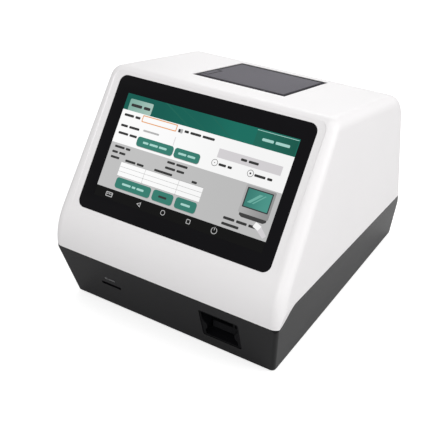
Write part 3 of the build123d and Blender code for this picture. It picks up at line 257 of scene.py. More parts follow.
class Paint(Bench):
    """A material being made: its tree, its main shader and the place on the object."""

    def __init__(self, name: str) -> None:
        """Start an empty material with a Principled shader.

        Args:
            name: Name of the finish.
        """
        self.material = bpy.data.materials.new(name)
        self.material.use_nodes = True
        super().__init__(self.material.node_tree)
        self.tree.nodes.clear()
        self.shader = self.add("ShaderNodeBsdfPrincipled")
        self.output = self.add("ShaderNodeOutputMaterial", inputs={"Surface": self.shader.outputs[0]})
        self.place = self.add("ShaderNodeTexCoord").outputs["Object"]

    def noise(self, scale: float, detail: float = 2.0, roughness: float = 0.5, place: Any = None) -> Value:
        """Cloudy noise over the object.

        Args:
            scale: Cells to the metre.
            detail: Number of finer layers.
            roughness: Strength of the finer layers.
            place: Coordinates other than the object's.

        Returns:
            The noise, from about 0 to 1.
        """
        node = self.add(
            "ShaderNodeTexNoise",
            inputs={"Vector": place or self.place, "Scale": scale, "Detail": detail, "Roughness": roughness},
        )
        return Value(self, node.outputs[0])

    def axes(self, place: Any = None) -> list[Value]:
        """The three coordinates of a place.

        Args:
            place: Coordinates other than the object's.

        Returns:
            X, Y and Z.
        """
        node = self.add("ShaderNodeSeparateXYZ", inputs={0: place or self.place})
        return [Value(self, socket) for socket in node.outputs]

    def turned(self, turn: Sequence[float], stretch: Sequence[float] = (1.0, 1.0, 1.0)) -> Any:
        """Object coordinates turned and stretched for a pattern.

        Args:
            turn: Angles about the axes, in radians.
            stretch: Factors along the turned axes.

        Returns:
            The vector socket.
        """
        inputs = {"Vector": self.place, "Rotation": turn, "Scale": stretch}
        return self.add("ShaderNodeMapping", inputs=inputs).outputs[0]

    def bump(self, height: Value, distance: float) -> None:
        """Raise the surface by a height pattern.

        Args:
            height: Pattern from 0 to 1.
            distance: Height of the pattern in metres.
        """
        inputs = {"Height": height, "Distance": distance, "Strength": 1.0}
        node = self.add("ShaderNodeBump", inputs=inputs)
        self.tree.links.new(node.outputs[0], self.shader.inputs["Normal"])

    def feed(self, **values: Any) -> None:
        """Set or link sockets of the main shader.

        Args:
            values: Sockets by name, with underscores for spaces.
        """
        for name, value in values.items():
            self.fill(self.shader.inputs[name.replace("_", " ")], value)


# Finishes


@dataclass(frozen=True)
class Moulding:
    """Moulded plastic with a fine grain and slight wear."""

    name: str
    colour: Colour
    roughness: float = 0.42
    grain: float = 2600.0
    relief: float = 0.00004
    shade: float = 0.06
    shine: float = 0.5
    coat: float = 0.0
    coat_roughness: float = 0.12
    cloud: float = 9.0
    cloud_span: Span = (0.35, 0.7)
    cloud_swing: float = 0.08
    grain_swing: float = 0.06

    def make(self) -> bpy.types.Material:
        """Build the material."""
        paint = Paint(self.name)
        grain = paint.noise(self.grain, 2.0, 0.6)
        cloud = paint.noise(self.cloud, 3.0, 0.55)
        dark = tuple(c * (1.0 - self.shade) for c in self.colour)
        paint.feed(
            Base_Color=paint.blend(cloud.ease(*self.cloud_span), self.colour, dark),
            Roughness=cloud.swing(self.cloud_swing) + grain.swing(self.grain_swing) + self.roughness,
            Specular_IOR_Level=self.shine,
            Coat_Weight=self.coat,
            Coat_Roughness=self.coat_roughness,
        )
        paint.bump(grain, self.relief)
        return paint.material


@dataclass(frozen=True)
class Steel:
    """Bare or plated metal with drawing lines along one axis and dulled patches."""

    name: str
    colour: Colour
    roughness: float = 0.3
    stretch: tuple[float, float, float] = (40.0, 3000.0, 3000.0)
    relief: float = 0.00001
    patch: float = 60.0
    patch_span: Span = (0.45, 0.75)
    patch_swing: float = 0.1
    line_swing: float = 0.18
    dulled: float = 0.82

    def make(self) -> bpy.types.Material:
        """Build the material."""
        paint = Paint(self.name)
        lines = paint.noise(1.0, 3.0, 0.6, paint.turned((0.0, 0.0, 0.0), self.stretch))
        patch = paint.noise(self.patch, 4.0, 0.6)
        dull = tuple(c * self.dulled for c in self.colour)
        roughness = lines.swing(self.line_swing) + patch * self.patch_swing + self.roughness
        paint.feed(
            Base_Color=paint.blend(patch.ease(*self.patch_span), self.colour, dull),
            Metallic=1.0,
            Roughness=roughness - self.patch_swing / 2,
        )
        paint.bump(lines, self.relief)
        return paint.material


@dataclass(frozen=True)
class Rubber:
    """Dark rubber with a dusty bloom."""

    name: str
    colour: Colour
    roughness: float = 0.75
    skin: float = 1800.0
    skin_swing: float = 0.1
    relief: float = 0.00003
    bloom: float = 120.0
    bloom_span: Span = (0.5, 0.8)
    bloom_share: float = 0.6
    paler: float = 1.6
    dust: float = 0.01
    shine: float = 0.35

    def make(self) -> bpy.types.Material:
        """Build the material."""
        paint = Paint(self.name)
        skin = paint.noise(self.skin, 2.0, 0.5)
        bloom = paint.noise(self.bloom, 4.0, 0.65)
        pale = tuple(c * self.paler + self.dust for c in self.colour)
        paint.feed(
            Base_Color=paint.blend(bloom.ease(*self.bloom_span) * self.bloom_share, self.colour, pale),
            Roughness=skin.swing(self.skin_swing) + self.roughness,
            Specular_IOR_Level=self.shine,
        )
        paint.bump(skin, self.relief)
        return paint.material


@dataclass(frozen=True)
class Paper:
    """Paper or card with fibres."""

    name: str
    colour: Colour
    fibre: Colour
    roughness: float = 0.7
    lean: float = 0.3
    stretch: tuple[float, float, float] = (900.0, 4200.0, 4200.0)
    fibre_span: Span = (0.5, 0.8)
    fibre_share: float = 0.5
    fibre_swing: float = 0.12
    relief: float = 0.00002

    def make(self) -> bpy.types.Material:
        """Build the material."""
        paint = Paint(self.name)
        fibres = paint.noise(1.0, 4.0, 0.7, paint.turned((0.0, self.lean, 0.0), self.stretch))
        share = fibres.ease(*self.fibre_span) * self.fibre_share
        paint.feed(
            Base_Color=paint.blend(share, self.colour, self.fibre),
            Roughness=fibres.swing(self.fibre_swing) + self.roughness,
        )
        paint.bump(fibres, self.relief)
        return paint.material


@dataclass(frozen=True)
class SolderMask:
    """Circuit board with copper tracks under green lacquer."""

    name: str
    colour: Colour = (0.012, 0.10, 0.045)
    track: Colour = (0.03, 0.20, 0.085)
    pitch: float = 0.0016
    track_share: float = 0.13
    patch: float = 55.0
    roughness: float = 0.36
    track_shine: float = 0.08
    coat: float = 0.4
    coat_roughness: float = 0.15
    relief: float = 0.00003

    def make(self) -> bpy.types.Material:
        """Build the material."""
        paint = Paint(self.name)
        across, along, _ = paint.axes()
        patch = paint.noise(self.patch, 1.0, 0.4) > 0.5
        half_width = self.pitch * self.track_share
        line_x, line_y = (
            abs(paint.math("PINGPONG", axis, self.pitch / 2)) < half_width for axis in (across, along)
        )
        tracks = line_x * patch + line_y * (1.0 - patch)
        paint.feed(
            Base_Color=paint.blend(tracks, self.colour, self.track),
            Roughness=self.roughness - tracks * self.track_shine,
            Coat_Weight=self.coat,
            Coat_Roughness=self.coat_roughness,
        )
        paint.bump(tracks, self.relief)
        return paint.material


@dataclass(frozen=True)
class Lit:
    """A colour in the lit picture, behind a glossy cover."""

    name: str
    colour: Colour
    other: Optional[Colour] = None
    across: float = 0.0
    reach: float = 0.06
    pixel: float = 0.00011
    pixel_depth: float = 0.02
    fall: float = 0.94
    sheen_lean: float = 0.6
    sheen_scale: float = 95.0
    sheen_share: float = 0.12
    cover: Colour = (0.004, 0.004, 0.004)
    roughness: float = 0.18
    shine: float = 0.06

    def make(self) -> bpy.types.Material:
        """Build the material."""
        paint = Paint(self.name)
        x, _, z = paint.axes()
        ripple = paint.math("PINGPONG", x, self.pixel) / self.pixel
        grid = ripple * self.pixel_depth + (1.0 - self.pixel_depth)
        second = self.other or tuple(c * self.fall for c in self.colour)
        slope = ((x - self.across) / self.reach).ease(-1.0, 1.0)
        sheen = paint.math("SINE", (x + z * self.sheen_lean) * self.sheen_scale) * self.sheen_share
        share = (slope + sheen).top(0.0).low(1.0) if self.other else slope
        shown = paint.blend(share, self.colour, second)
        lit = paint.add("ShaderNodeVectorMath", {"operation": "SCALE"}, {0: shown, "Scale": grid})
        paint.feed(
            Base_Color=self.cover,
            Roughness=self.roughness,
            Specular_IOR_Level=self.shine,
            Emission_Color=lit.outputs[0],
            Emission_Strength=1.0,
        )
        return paint.material


@dataclass(frozen=True)
class CoverGlass:
    """Glass with black print on its back."""

    name: str
    colour: Colour = (0.0035, 0.0033, 0.0042)
    paler: float = 1.5
    roughness: float = 0.07
    smear: float = 22.0
    smear_span: Span = (0.45, 0.8)
    smear_swing: float = 0.06
    shine: float = 0.05

    def make(self) -> bpy.types.Material:
        """Build the material."""
        paint = Paint(self.name)
        smear = paint.noise(self.smear, 4.0, 0.6)
        pale = tuple(c * self.paler for c in self.colour)
        paint.feed(
            Base_Color=paint.blend(smear, self.colour, pale),
            Roughness=smear.ease(*self.smear_span) * self.smear_swing + self.roughness,
            Specular_IOR_Level=self.shine,
        )
        return paint.material


class Finishes:
    """The finishes by name, each made once."""

    def __init__(self) -> None:
        """List the finishes."""
        self.made: dict[str, bpy.types.Material] = {}
        listed = [
            Moulding("white_shell", (0.83, 0.815, 0.82), 0.38, 3200.0, 0.00002, 0.015, 0.4),
            Moulding("dark_shell", (0.0036, 0.0034, 0.0045), 0.22, 3000.0, 0.00002, 0.10, 0.26),
            Moulding("dark_grey_plastic", (0.045, 0.041, 0.044), 0.5, 2200.0, 0.00005, 0.10),
            Moulding("lid_plastic", (0.048, 0.043, 0.060), 0.55, 2200.0, 0.00005, 0.08, 0.18),
            Moulding("printer_black", (0.008, 0.007, 0.009), 0.5, 2200.0, 0.00005, 0.10, 0.03),
            Moulding("port_black", (0.004, 0.004, 0.005), 0.5, 2200.0, 0.00003, 0.10, 0.06),
            Moulding("tray_black", (0.005, 0.005, 0.006), 0.5, 2200.0, 0.00003, 0.10, 0.08),
            Moulding("black_plastic", (0.012, 0.012, 0.013), 0.38, 2400.0, 0.00003, 0.15, 0.4),
            Moulding("gear_acetal", (0.72, 0.70, 0.64), 0.33, 1500.0, 0.00001, 0.05),
            Moulding("ceramic", (0.62, 0.60, 0.54), 0.2, 1500.0, 0.00001, 0.05, 0.6, 0.5),
            Moulding("board_part", (0.020, 0.020, 0.021), 0.45, 3500.0, 0.00003, 0.12),
            Moulding("ribbon_film", (0.62, 0.50, 0.28), 0.32, 900.0, 0.00001, 0.05),
            Moulding("black_anodised", (0.016, 0.016, 0.018), 0.33, 4200.0, 0.00003, 0.08, 0.7),
            Moulding("foam", (0.015, 0.015, 0.016), 0.9, 1600.0, 0.0002, 0.3, 0.1),
            Moulding("print_grey", (0.12, 0.12, 0.125), 0.5, 2400.0, 0.00001, 0.05, 0.3),
            Moulding("label_film", (0.52, 0.52, 0.53), 0.35, 2400.0, 0.00001, 0.05, 0.4),
            Steel("display_metal", (0.55, 0.56, 0.57), 0.42),
            Steel("zinc_steel", (0.55, 0.56, 0.58), 0.4),
            Steel("steel", (0.50, 0.50, 0.51), 0.28),
            Steel("stainless_blade", (0.68, 0.68, 0.69), 0.2),
            Steel("bare_aluminium", (0.68, 0.69, 0.70), 0.35),
            Steel("socket_steel", (0.60, 0.61, 0.62), 0.26),
            Steel("contact_gold", (0.85, 0.62, 0.28), 0.25),
            Rubber("platen_rubber", (0.02, 0.02, 0.02)),
            Rubber("foot_rubber", (0.018, 0.018, 0.018), 0.8),
            Paper("paper", (0.86, 0.86, 0.85), (0.78, 0.78, 0.77)),
            Paper("core_board", (0.42, 0.31, 0.19), (0.30, 0.21, 0.12)),
            SolderMask("circuit_board"),
            CoverGlass("screen_glass"),
        ]
        self.listed: dict[str, Any] = {finish.name: finish for finish in listed}

    def get(self, name: str) -> bpy.types.Material:
        """A finish's material, made on first use.

        Args:
            name: Name of the finish.

        Returns:
            The material.
        """
        if name not in self.made:
            self.made[name] = self.listed[name].make()
        return self.made[name]

    def lit(self, finish: Lit) -> bpy.types.Material:
        """The material of a colour in the picture.

        Args:
            finish: The colour.

        Returns:
            The material.
        """
        self.listed[finish.name] = finish
        return self.get(finish.name)


FINISHES = Finishes()


# Places and meshes


@dataclass(frozen=True)
class Place:
    """A local frame on the object: its origin and axes, in metres."""

    origin: Vector
    x: Vector
    y: Vector
    z: Vector

    @staticmethod
    def tilted(origin: Sequence[float], angle: float, facing: float = 1.0) -> "Place":
        """Frame whose normal leans in the side view.

        Args:
            origin: Place in millimetres.
            angle: Angle of the local Y axis from the world's Y axis, in degrees.
            facing: Minus one where local X points to world -X.

        Returns:
            The frame.
        """
        turn = math.radians(angle)
        along = Vector((0.0, math.cos(turn), math.sin(turn)))
        across = Vector((facing, 0.0, 0.0))
        return Place(Vector(origin) * MM, across, along, across.cross(along))

    def turn(self) -> Matrix:
        """Rotation from the local axes to the object's."""
        return Matrix((self.x, self.y, self.z)).transposed()

    def matrix(self) -> Matrix:
        """Matrix from local millimetres to the object's metres."""
        return Matrix.Translation(self.origin) @ self.turn().to_4x4() @ Matrix.Scale(MM, 4)

    def at(self, x: float, y: float, z: float) -> Vector:
        """A local point, given in millimetres, in metres."""
        return self.origin + (self.x * x + self.y * y + self.z * z) * MM


WORLD = Place.tilted((0.0, 0.0, 0.0), 0.0)
SCREEN = Place.tilted((0.0, -85.2, 154.2), 52.44)
TOP = Place.tilted((0.0, 38.318, 193.608), -12.24)
PANEL = Place.tilted((-40.0, 135.4223, 33.0), 98.4, -1.0)
FAN = Place.tilted((62.0, 123.757, 112.0), 98.4, -1.0)
PORT = Place.tilted((60.7, -133.034, 31.7), 90.0 + 13.507)
# Frame of points that are given in metres already
METRES = Place(Vector((0, 0, 0)), Vector((1000, 0, 0)), Vector((0, 1000, 0)), Vector((0, 0, 1000)))


class Maker:
    """Turns mesh data into pieces of the object."""

    @staticmethod
    def finish(
        piece: bpy.types.Object, body: Body, slot: str = "", replaces: Sequence[str] = ()
    ) -> bpy.types.Object:
        """Join a piece to its body and hide the CAD nodes that it stands for.

        Args:
            piece: The piece, its place in its mesh.
            body: Group that it moves with.
            slot: Material slot of the record; not used.
            replaces: CAD nodes that it stands for.

        Returns:
            The same piece.
        """
        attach(piece, body.value)
        if replaces:
            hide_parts(*replaces)
        log.info("made %s on %s, %d faces", piece.name, body.value, len(piece.data.polygons))
        return piece

    @staticmethod
    def piece(name: str, mesh: bpy.types.Mesh, finishes: Iterable[str] = ()) -> bpy.types.Object:
        """Put a mesh in the scene with its finishes.

        Args:
            name: Name of the piece.
            mesh: Its mesh.
            finishes: Names of finishes, one for each material slot.

        Returns:
            The object.
        """
        piece = bpy.data.objects.new(name, mesh)
        bpy.context.scene.collection.objects.link(piece)
        mesh.name = name
        for finish in finishes:
            mesh.materials.append(FINISHES.get(finish))
        return piece

    @staticmethod
    def mesh(name: str, shape: bmesh.types.BMesh) -> bpy.types.Mesh:
        """A mesh from a working shape, which is used up.

        Args:
            name: Name of the mesh.
            shape: The working shape.

        Returns:
            The mesh.
        """
        mesh = bpy.data.meshes.new(name)
        shape.to_mesh(mesh)
        shape.free()
        return mesh

    @staticmethod
    def discard(piece: bpy.types.Object) -> None:
        """Remove a piece and its mesh.

        Args:
            piece: The piece.
        """
        data = piece.data
        bpy.data.objects.remove(piece)
        bpy.data.meshes.remove(data)

    @staticmethod
    def bake(piece: bpy.types.Object) -> bpy.types.Mesh:
        """A plain mesh of a piece with its modifiers or curve worked out.

        Args:
            piece: Mesh or curve object.

        Returns:
            The new mesh.
        """
        bpy.context.view_layer.update()
        graph = bpy.context.evaluated_depsgraph_get()
        return bpy.data.meshes.new_from_object(piece.evaluated_get(graph), depsgraph=graph)

    @classmethod
    def settle(cls, piece: bpy.types.Object) -> bpy.types.Object:
        """Replace a piece's modifiers by their result.

        Args:
            piece: Mesh object.

        Returns:
            The same object, with a plain mesh.
        """
        mesh = cls.bake(piece)
        piece.modifiers.clear()
        old = piece.data
        name = old.name
        piece.data = mesh
        bpy.data.meshes.remove(old)
        mesh.name = name
        return piece

    @classmethod
    def dressed(cls, node: str, body: Body, finish: str, edge: float, slot: str = "") -> bpy.types.Object:
        """Smooth copy of a CAD node with softened edges, which stands for the node.

        Args:
            node: CAD node to copy.
            body: Group that it moves with.
            finish: Finish of the copy.
            edge: Width of the softened edges in millimetres.
            slot: Material slot of the record, where it isn't the finish's name.

        Returns:
            The piece.
        """
        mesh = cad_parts[node].data.copy()
        mesh.materials.clear()
        if mesh.has_custom_normals:
            mesh.attributes.remove(mesh.attributes["custom_normal"])
        shape = bmesh.new()
        shape.from_mesh(mesh)
        bmesh.ops.remove_doubles(shape, verts=shape.verts, dist=NODE_MERGE)
        bmesh.ops.dissolve_degenerate(shape, edges=shape.edges, dist=PIECE_MERGE)
        flat = math.radians(FLAT_ANGLE)
        bmesh.ops.dissolve_limit(
            shape, angle_limit=flat, verts=shape.verts, edges=shape.edges, delimit={"NORMAL"}
        )
        cls.shade(shape, NODE_SHARP)
        shape.to_mesh(mesh)
        shape.free()
        piece = cls.piece(node + "_skin", mesh, [finish])
        bevel = piece.modifiers.new("edges", "BEVEL")
        bevel.width = edge * MM
        bevel.segments = 2
        bevel.limit_method = "ANGLE"
        bevel.angle_limit = math.radians(SOFTENED_ANGLE)
        bevel.use_clamp_overlap = True
        bevel.harden_normals = False
        even = piece.modifiers.new("even", "WEIGHTED_NORMAL")
        even.keep_sharp = True
        cls.settle(piece)
        return cls.finish(piece, body, slot or finish, [node])

    @staticmethod
    def shade(shape: bmesh.types.BMesh, sharp: float) -> None:
        """Shade a shape smooth, except over its sharp edges.

        Args:
            shape: The working shape.
            sharp: Least angle of a sharp edge in degrees.
        """
        limit = math.radians(sharp)
        for line in shape.edges:
            line.smooth = line.is_manifold and line.calc_face_angle(0.0) < limit
        for face in shape.faces:
            face.smooth = True

    @classmethod
    def plate(
        cls,
        name: str,
        outlines: Sequence[Sequence[Point2]],
        span: Span,
        place: Place,
        finishes: Sequence[str],
        round_edge: float = 0.0,
    ) -> bpy.types.Object:
        """Flat plate from closed outlines; an outline inside another is a hole.

        Args:
            name: Name of the piece.
            outlines: Outlines in local millimetres.
            span: Lowest and highest local Z.
            place: Local frame.
            finishes: Finishes of the piece.
            round_edge: Radius of its edges.

        Returns:
            The object.
        """
        curve = bpy.data.curves.new(name, "CURVE")
        curve.dimensions = "2D"
        curve.fill_mode = "BOTH"
        curve.extrude = (span[1] - span[0]) / 2 - round_edge
        curve.bevel_depth = round_edge
        curve.bevel_resolution = 2
        curve.offset = -round_edge
        for outline in outlines:
            spline = curve.splines.new("POLY")
            spline.points.add(len(outline) - 1)
            for point, (x, y) in zip(spline.points, outline):
                point.co = (x, y, 0.0, 1.0)
            spline.use_cyclic_u = True
        holder = bpy.data.objects.new(name, curve)
        bpy.context.scene.collection.objects.link(holder)
        mesh = cls.bake(holder)
        bpy.data.objects.remove(holder)
        bpy.data.curves.remove(curve)
        mesh.transform(place.matrix() @ Matrix.Translation((0.0, 0.0, (span[0] + span[1]) / 2)))
        return cls.piece(name, cls.cleaned(mesh), finishes)

    @classmethod
    def cleaned(cls, mesh: bpy.types.Mesh) -> bpy.types.Mesh:
        """Merge doubles, point faces outwards and mark sharp edges.

        Args:
            mesh: Closed mesh in metres.

        Returns:
            The same mesh.
        """
        shape = bmesh.new()
        shape.from_mesh(mesh)
        bmesh.ops.remove_doubles(shape, verts=shape.verts, dist=PIECE_MERGE)
        bmesh.ops.recalc_face_normals(shape, faces=shape.faces)
        cls.shade(shape, PIECE_SHARP)
        shape.to_mesh(mesh)
        shape.free()
        return mesh

    @classmethod
    def turned(
        cls, name: str, profile: Sequence[Point2], place: Place, finishes: Sequence[str], steps: int = 48
    ) -> bpy.types.Object:
        """Body of revolution about the local Z axis.

        Args:
            name: Name of the piece.
            profile: Radii and heights in local millimetres; it starts and ends on the axis or is closed.
            place: Local frame.
            finishes: Finishes of the piece.
            steps: Sides around the axis.

        Returns:
            The object.
        """
        shape = bmesh.new()
        rings = []
        for radius, height in profile:
            if radius == 0.0:
                rings.append([shape.verts.new((0.0, 0.0, height))])
                continue
            ring = []
            for i in range(steps):
                turn = 2 * math.pi * i / steps
                ring.append(shape.verts.new((radius * math.cos(turn), radius * math.sin(turn), height)))
            rings.append(ring)
        closed = profile[0][0] > 0.0
        count = len(rings) if closed else len(rings) - 1
        for k in range(count):
            low, high = rings[k], rings[(k + 1) % len(rings)]
            for i in range(steps):
                j = (i + 1) % steps
                if len(low) == 1 and len(high) > 1:
                    shape.faces.new((low[0], high[j], high[i]))
                elif len(high) == 1 and len(low) > 1:
                    shape.faces.new((low[i], low[j], high[0]))
                elif len(low) > 1:
                    shape.faces.new((low[i], low[j], high[j], high[i]))
        mesh = cls.mesh(name, shape)
        mesh.transform(place.matrix())
        return cls.piece(name, cls.cleaned(mesh), finishes)

    @staticmethod
    def islands(node: str, place: Place) -> list[list[Vector]]:
        """Separate pieces of a CAD node.

        Args:
            node: CAD node to look at.
            place: Frame that the points are given in.

        Returns:
            The points of each piece in local millimetres.
        """
        shape = bmesh.new()
        shape.from_mesh(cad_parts[node].data)
        bmesh.ops.remove_doubles(shape, verts=shape.verts, dist=NODE_MERGE)
        back = place.matrix().inverted()
        left = set(shape.verts)
        found = []
        while left:
            queue = [left.pop()]
            points = []
            while queue:
                vert = queue.pop()
                points.append(back @ vert.co)
                for line in vert.link_edges:
                    other = line.other_vert(vert)
                    if other in left:
                        left.remove(other)
                        queue.append(other)
            found.append(points)
        shape.free()
        return found

    @classmethod
    def joined(cls, name: str, parts: Sequence[bpy.types.Object]) -> bpy.types.Object:
        """One piece from several, with their materials kept.

        Args:
            name: Name of the piece.
            parts: Objects to join, which are used up.

        Returns:
            The joined object.
        """
        shape = bmesh.new()
        materials: list[bpy.types.Material] = []
        for part in parts:
            start = len(shape.faces)
            shape.from_mesh(part.data)
            shape.faces.ensure_lookup_table()
            numbers = []
            for material in part.data.materials:
                if material not in materials:
                    materials.append(material)
                numbers.append(materials.index(material))
            for face in shape.faces[start:]:
                face.material_index = numbers[min(face.material_index, len(numbers) - 1)]
        mesh = cls.mesh(name, shape)
        for part in parts:
            cls.discard(part)
        for material in materials:
            mesh.materials.append(material)
        return cls.piece(name, mesh)


class Outline:
    """Closed outlines in the plane, in millimetres."""

    @staticmethod
    def rounded(x: Span, y: Span, radius: float, steps: int = 6) -> list[Point2]:
        """Rectangle with rounded corners.

        Args:
            x: Its limits along X.
            y: Its limits along Y.
            radius: Corner radius.
            steps: Parts of each corner.

        Returns:
            Its points, counter-clockwise.
        """
        radius = min(radius, (x[1] - x[0]) / 2 - 1e-4, (y[1] - y[0]) / 2 - 1e-4)
        points = []
        corners = ((x[1], y[1], 0), (x[0], y[1], 90), (x[0], y[0], 180), (x[1], y[0], 270))
        for cx, cy, start in corners:
            mx = cx - radius if cx == x[1] else cx + radius
            my = cy - radius if cy == y[1] else cy + radius
            for i in range(steps + 1):
                turn = math.radians(start + 90 * i / steps)
                points.append((mx + radius * math.cos(turn), my + radius * math.sin(turn)))
        return points

    @staticmethod
    def disc(
        centre: Point2, radius: float, steps: int = 32, start: float = 0.0, sweep: float = 360.0
    ) -> list[Point2]:
        """Circle, or the points of an arc.

        Args:
            centre: Its centre.
            radius: Its radius.
            steps: Number of parts.
            start: First angle in degrees.
            sweep: Angle covered in degrees.

        Returns:
            Its points.
        """
        count = steps if sweep == 360.0 else steps + 1
        points = []
        for i in range(count):
            turn = math.radians(start + sweep * i / steps)
            points.append((centre[0] + radius * math.cos(turn), centre[1] + radius * math.sin(turn)))
        return points

    @classmethod
    def arc_band(
        cls, centre: Point2, radius: float, width: float, start: float, sweep: float
    ) -> list[Point2]:
        """Outline of a bent band.

        Args:
            centre: Centre of its arc.
            radius: Radius of its middle line.
            width: Its width.
            start: First angle in degrees.
            sweep: Angle covered in degrees.

        Returns:
            Its points.
        """
        outer = cls.disc(centre, radius + width / 2, 20, start, sweep)
        inner = cls.disc(centre, radius - width / 2, 20, start, sweep)
        return outer + inner[::-1]


class Repeats:
    """Geometry Nodes trees for what repeats or follows a path."""

    @staticmethod
    def tree(name: str, sizes: dict[str, tuple[str, Any]]) -> tuple[Bench, Any, Any]:
        """Start a geometry tree with named inputs.

        Args:
            name: Name of the tree.
            sizes: Socket type and value of each input by name.

        Returns:
            The tree's bench, its input node and its output node.
        """
        group = bpy.data.node_groups.new(name, "GeometryNodeTree")
        group.interface.new_socket("Geometry", in_out="INPUT", socket_type="NodeSocketGeometry")
        for label, (kind, value) in sizes.items():
            socket = group.interface.new_socket(label, in_out="INPUT", socket_type=kind)
            if kind not in ("NodeSocketObject", "NodeSocketMaterial"):
                socket.default_value = value
        group.interface.new_socket("Geometry", in_out="OUTPUT", socket_type="NodeSocketGeometry")
        bench = Bench(group)
        return bench, bench.add("NodeGroupInput"), bench.add("NodeGroupOutput")

    @staticmethod
    def run(
        name: str,
        bench: Bench,
        sizes: dict[str, tuple[str, Any]],
        place: Place,
        finish: str,
        base: Optional[bpy.types.Mesh] = None,
    ) -> bpy.types.Object:
        """Apply a tree and keep its result as a plain mesh.

        Args:
            name: Name of the piece.
            bench: The tree.
            sizes: The same inputs that the tree was started with.
            place: Local frame, in which the tree works in millimetres.
            finish: Finish of the piece.
            base: Mesh that the tree starts from.

        Returns:
            The object.
        """
        mesh = base or bpy.data.meshes.new(name)
        holder = bpy.data.objects.new(name, mesh)
        bpy.context.scene.collection.objects.link(holder)
        nodes = holder.modifiers.new("nodes", "NODES")
        nodes.node_group = bench.tree
        for item in bench.tree.interface.items_tree:
            if item.in_out == "INPUT" and item.name in sizes:
                nodes[item.identifier] = sizes[item.name][1]
        result = Maker.bake(holder)
        bpy.data.objects.remove(holder)
        bpy.data.meshes.remove(mesh)
        bpy.data.node_groups.remove(bench.tree)
        result.transform(place.matrix())
        if not result.materials:
            result.materials.append(FINISHES.get(finish))
        return Maker.piece(name, result)

    @staticmethod
    def close(bench: Bench, geometry: Any, start: Any, end: Any) -> None:
        """End a tree in real geometry with its material.

        Args:
            bench: The tree.
            geometry: Socket of the instances.
            start: The tree's input node.
            end: The tree's output node.
        """
        real = bench.add("GeometryNodeRealizeInstances", inputs={"Geometry": geometry})
        inputs = {"Geometry": real.outputs[0], "Material": start.outputs["Finish"]}
        painted = bench.add("GeometryNodeSetMaterial", inputs=inputs)
        bench.tree.links.new(painted.outputs[0], end.inputs[0])

    @classmethod
    def row(
        cls,
        name: str,
        count: int,
        step: Sequence[float],
        size: Sequence[float],
        first: Sequence[float],
        place: Place,
        finish: str,
    ) -> bpy.types.Object:
        """Row of equal bars.

        Args:
            name: Name of the piece.
            count: Number of bars.
            step: Way from one to the next in local millimetres.
            size: Size of a bar.
            first: Centre of the first bar.
            place: Local frame.
            finish: Finish of the bars.

        Returns:
            The object.
        """
        sizes = {
            "Count": ("NodeSocketInt", count),
            "Step": ("NodeSocketVector", tuple(step)),
            "Bar Size": ("NodeSocketVector", tuple(size)),
            "First": ("NodeSocketVector", tuple(first)),
            "Finish": ("NodeSocketMaterial", FINISHES.get(finish)),
        }
        bench, start, end = cls.tree(name + "_row", sizes)
        line = bench.add(
            "GeometryNodeMeshLine",
            {"mode": "OFFSET"},
            {
                "Count": start.outputs["Count"],
                "Start Location": start.outputs["First"],
                "Offset": start.outputs["Step"],
            },
        )
        bar = bench.add("GeometryNodeMeshCube", inputs={"Size": start.outputs["Bar Size"]})
        spread = bench.add(
            "GeometryNodeInstanceOnPoints", inputs={"Points": line.outputs[0], "Instance": bar.outputs[0]}
        )
        cls.close(bench, spread.outputs[0], start, end)
        return cls.run(name, bench, sizes, place, finish)

    @classmethod
    def scattered(
        cls,
        name: str,
        points: Sequence[Sequence[float]],
        turn: Sequence[float],
        model: bpy.types.Object,
        finish: str,
    ) -> bpy.types.Object:
        """Copies of a small part at given places.

        Args:
            name: Name of the piece.
            points: Places on the object in metres.
            turn: Angles about the axes in radians.
            model: The part, made in metres about the origin; it is removed.
            finish: Finish of the copies.

        Returns:
            The object.
        """
        sizes = {
            "Turn": ("NodeSocketVector", tuple(turn)),
            "Part": ("NodeSocketObject", model),
            "Finish": ("NodeSocketMaterial", FINISHES.get(finish)),
        }
        bench, start, end = cls.tree(name + "_copies", sizes)
        part = bench.add("GeometryNodeObjectInfo", inputs={"Object": start.outputs["Part"]})
        dots = bench.add("GeometryNodeMeshToPoints", inputs={"Mesh": start.outputs[0]})
        spread = bench.add(
            "GeometryNodeInstanceOnPoints",
            inputs={
                "Points": dots.outputs[0],
                "Instance": part.outputs["Geometry"],
                "Rotation": start.outputs["Turn"],
            },
        )
        cls.close(bench, spread.outputs[0], start, end)
        base = bpy.data.meshes.new(name + "_places")
        base.from_pydata([tuple(point) for point in points], [], [])
        piece = cls.run(name, bench, sizes, METRES, finish, base)
        Maker.discard(model)
        return piece

    @classmethod
    def wound(
        cls, name: str, inner: float, outer: float, width: float, turns: float, place: Place, finish: str
    ) -> bpy.types.Object:
        """Strip wound in a spiral, standing along the local Z axis.

        Args:
            name: Name of the piece.
            inner: Inner radius in millimetres.
            outer: Outer radius.
            width: Width of the strip.
            turns: Number of turns.
            place: Local frame.
            finish: Finish of the strip.

        Returns:
            The object.
        """
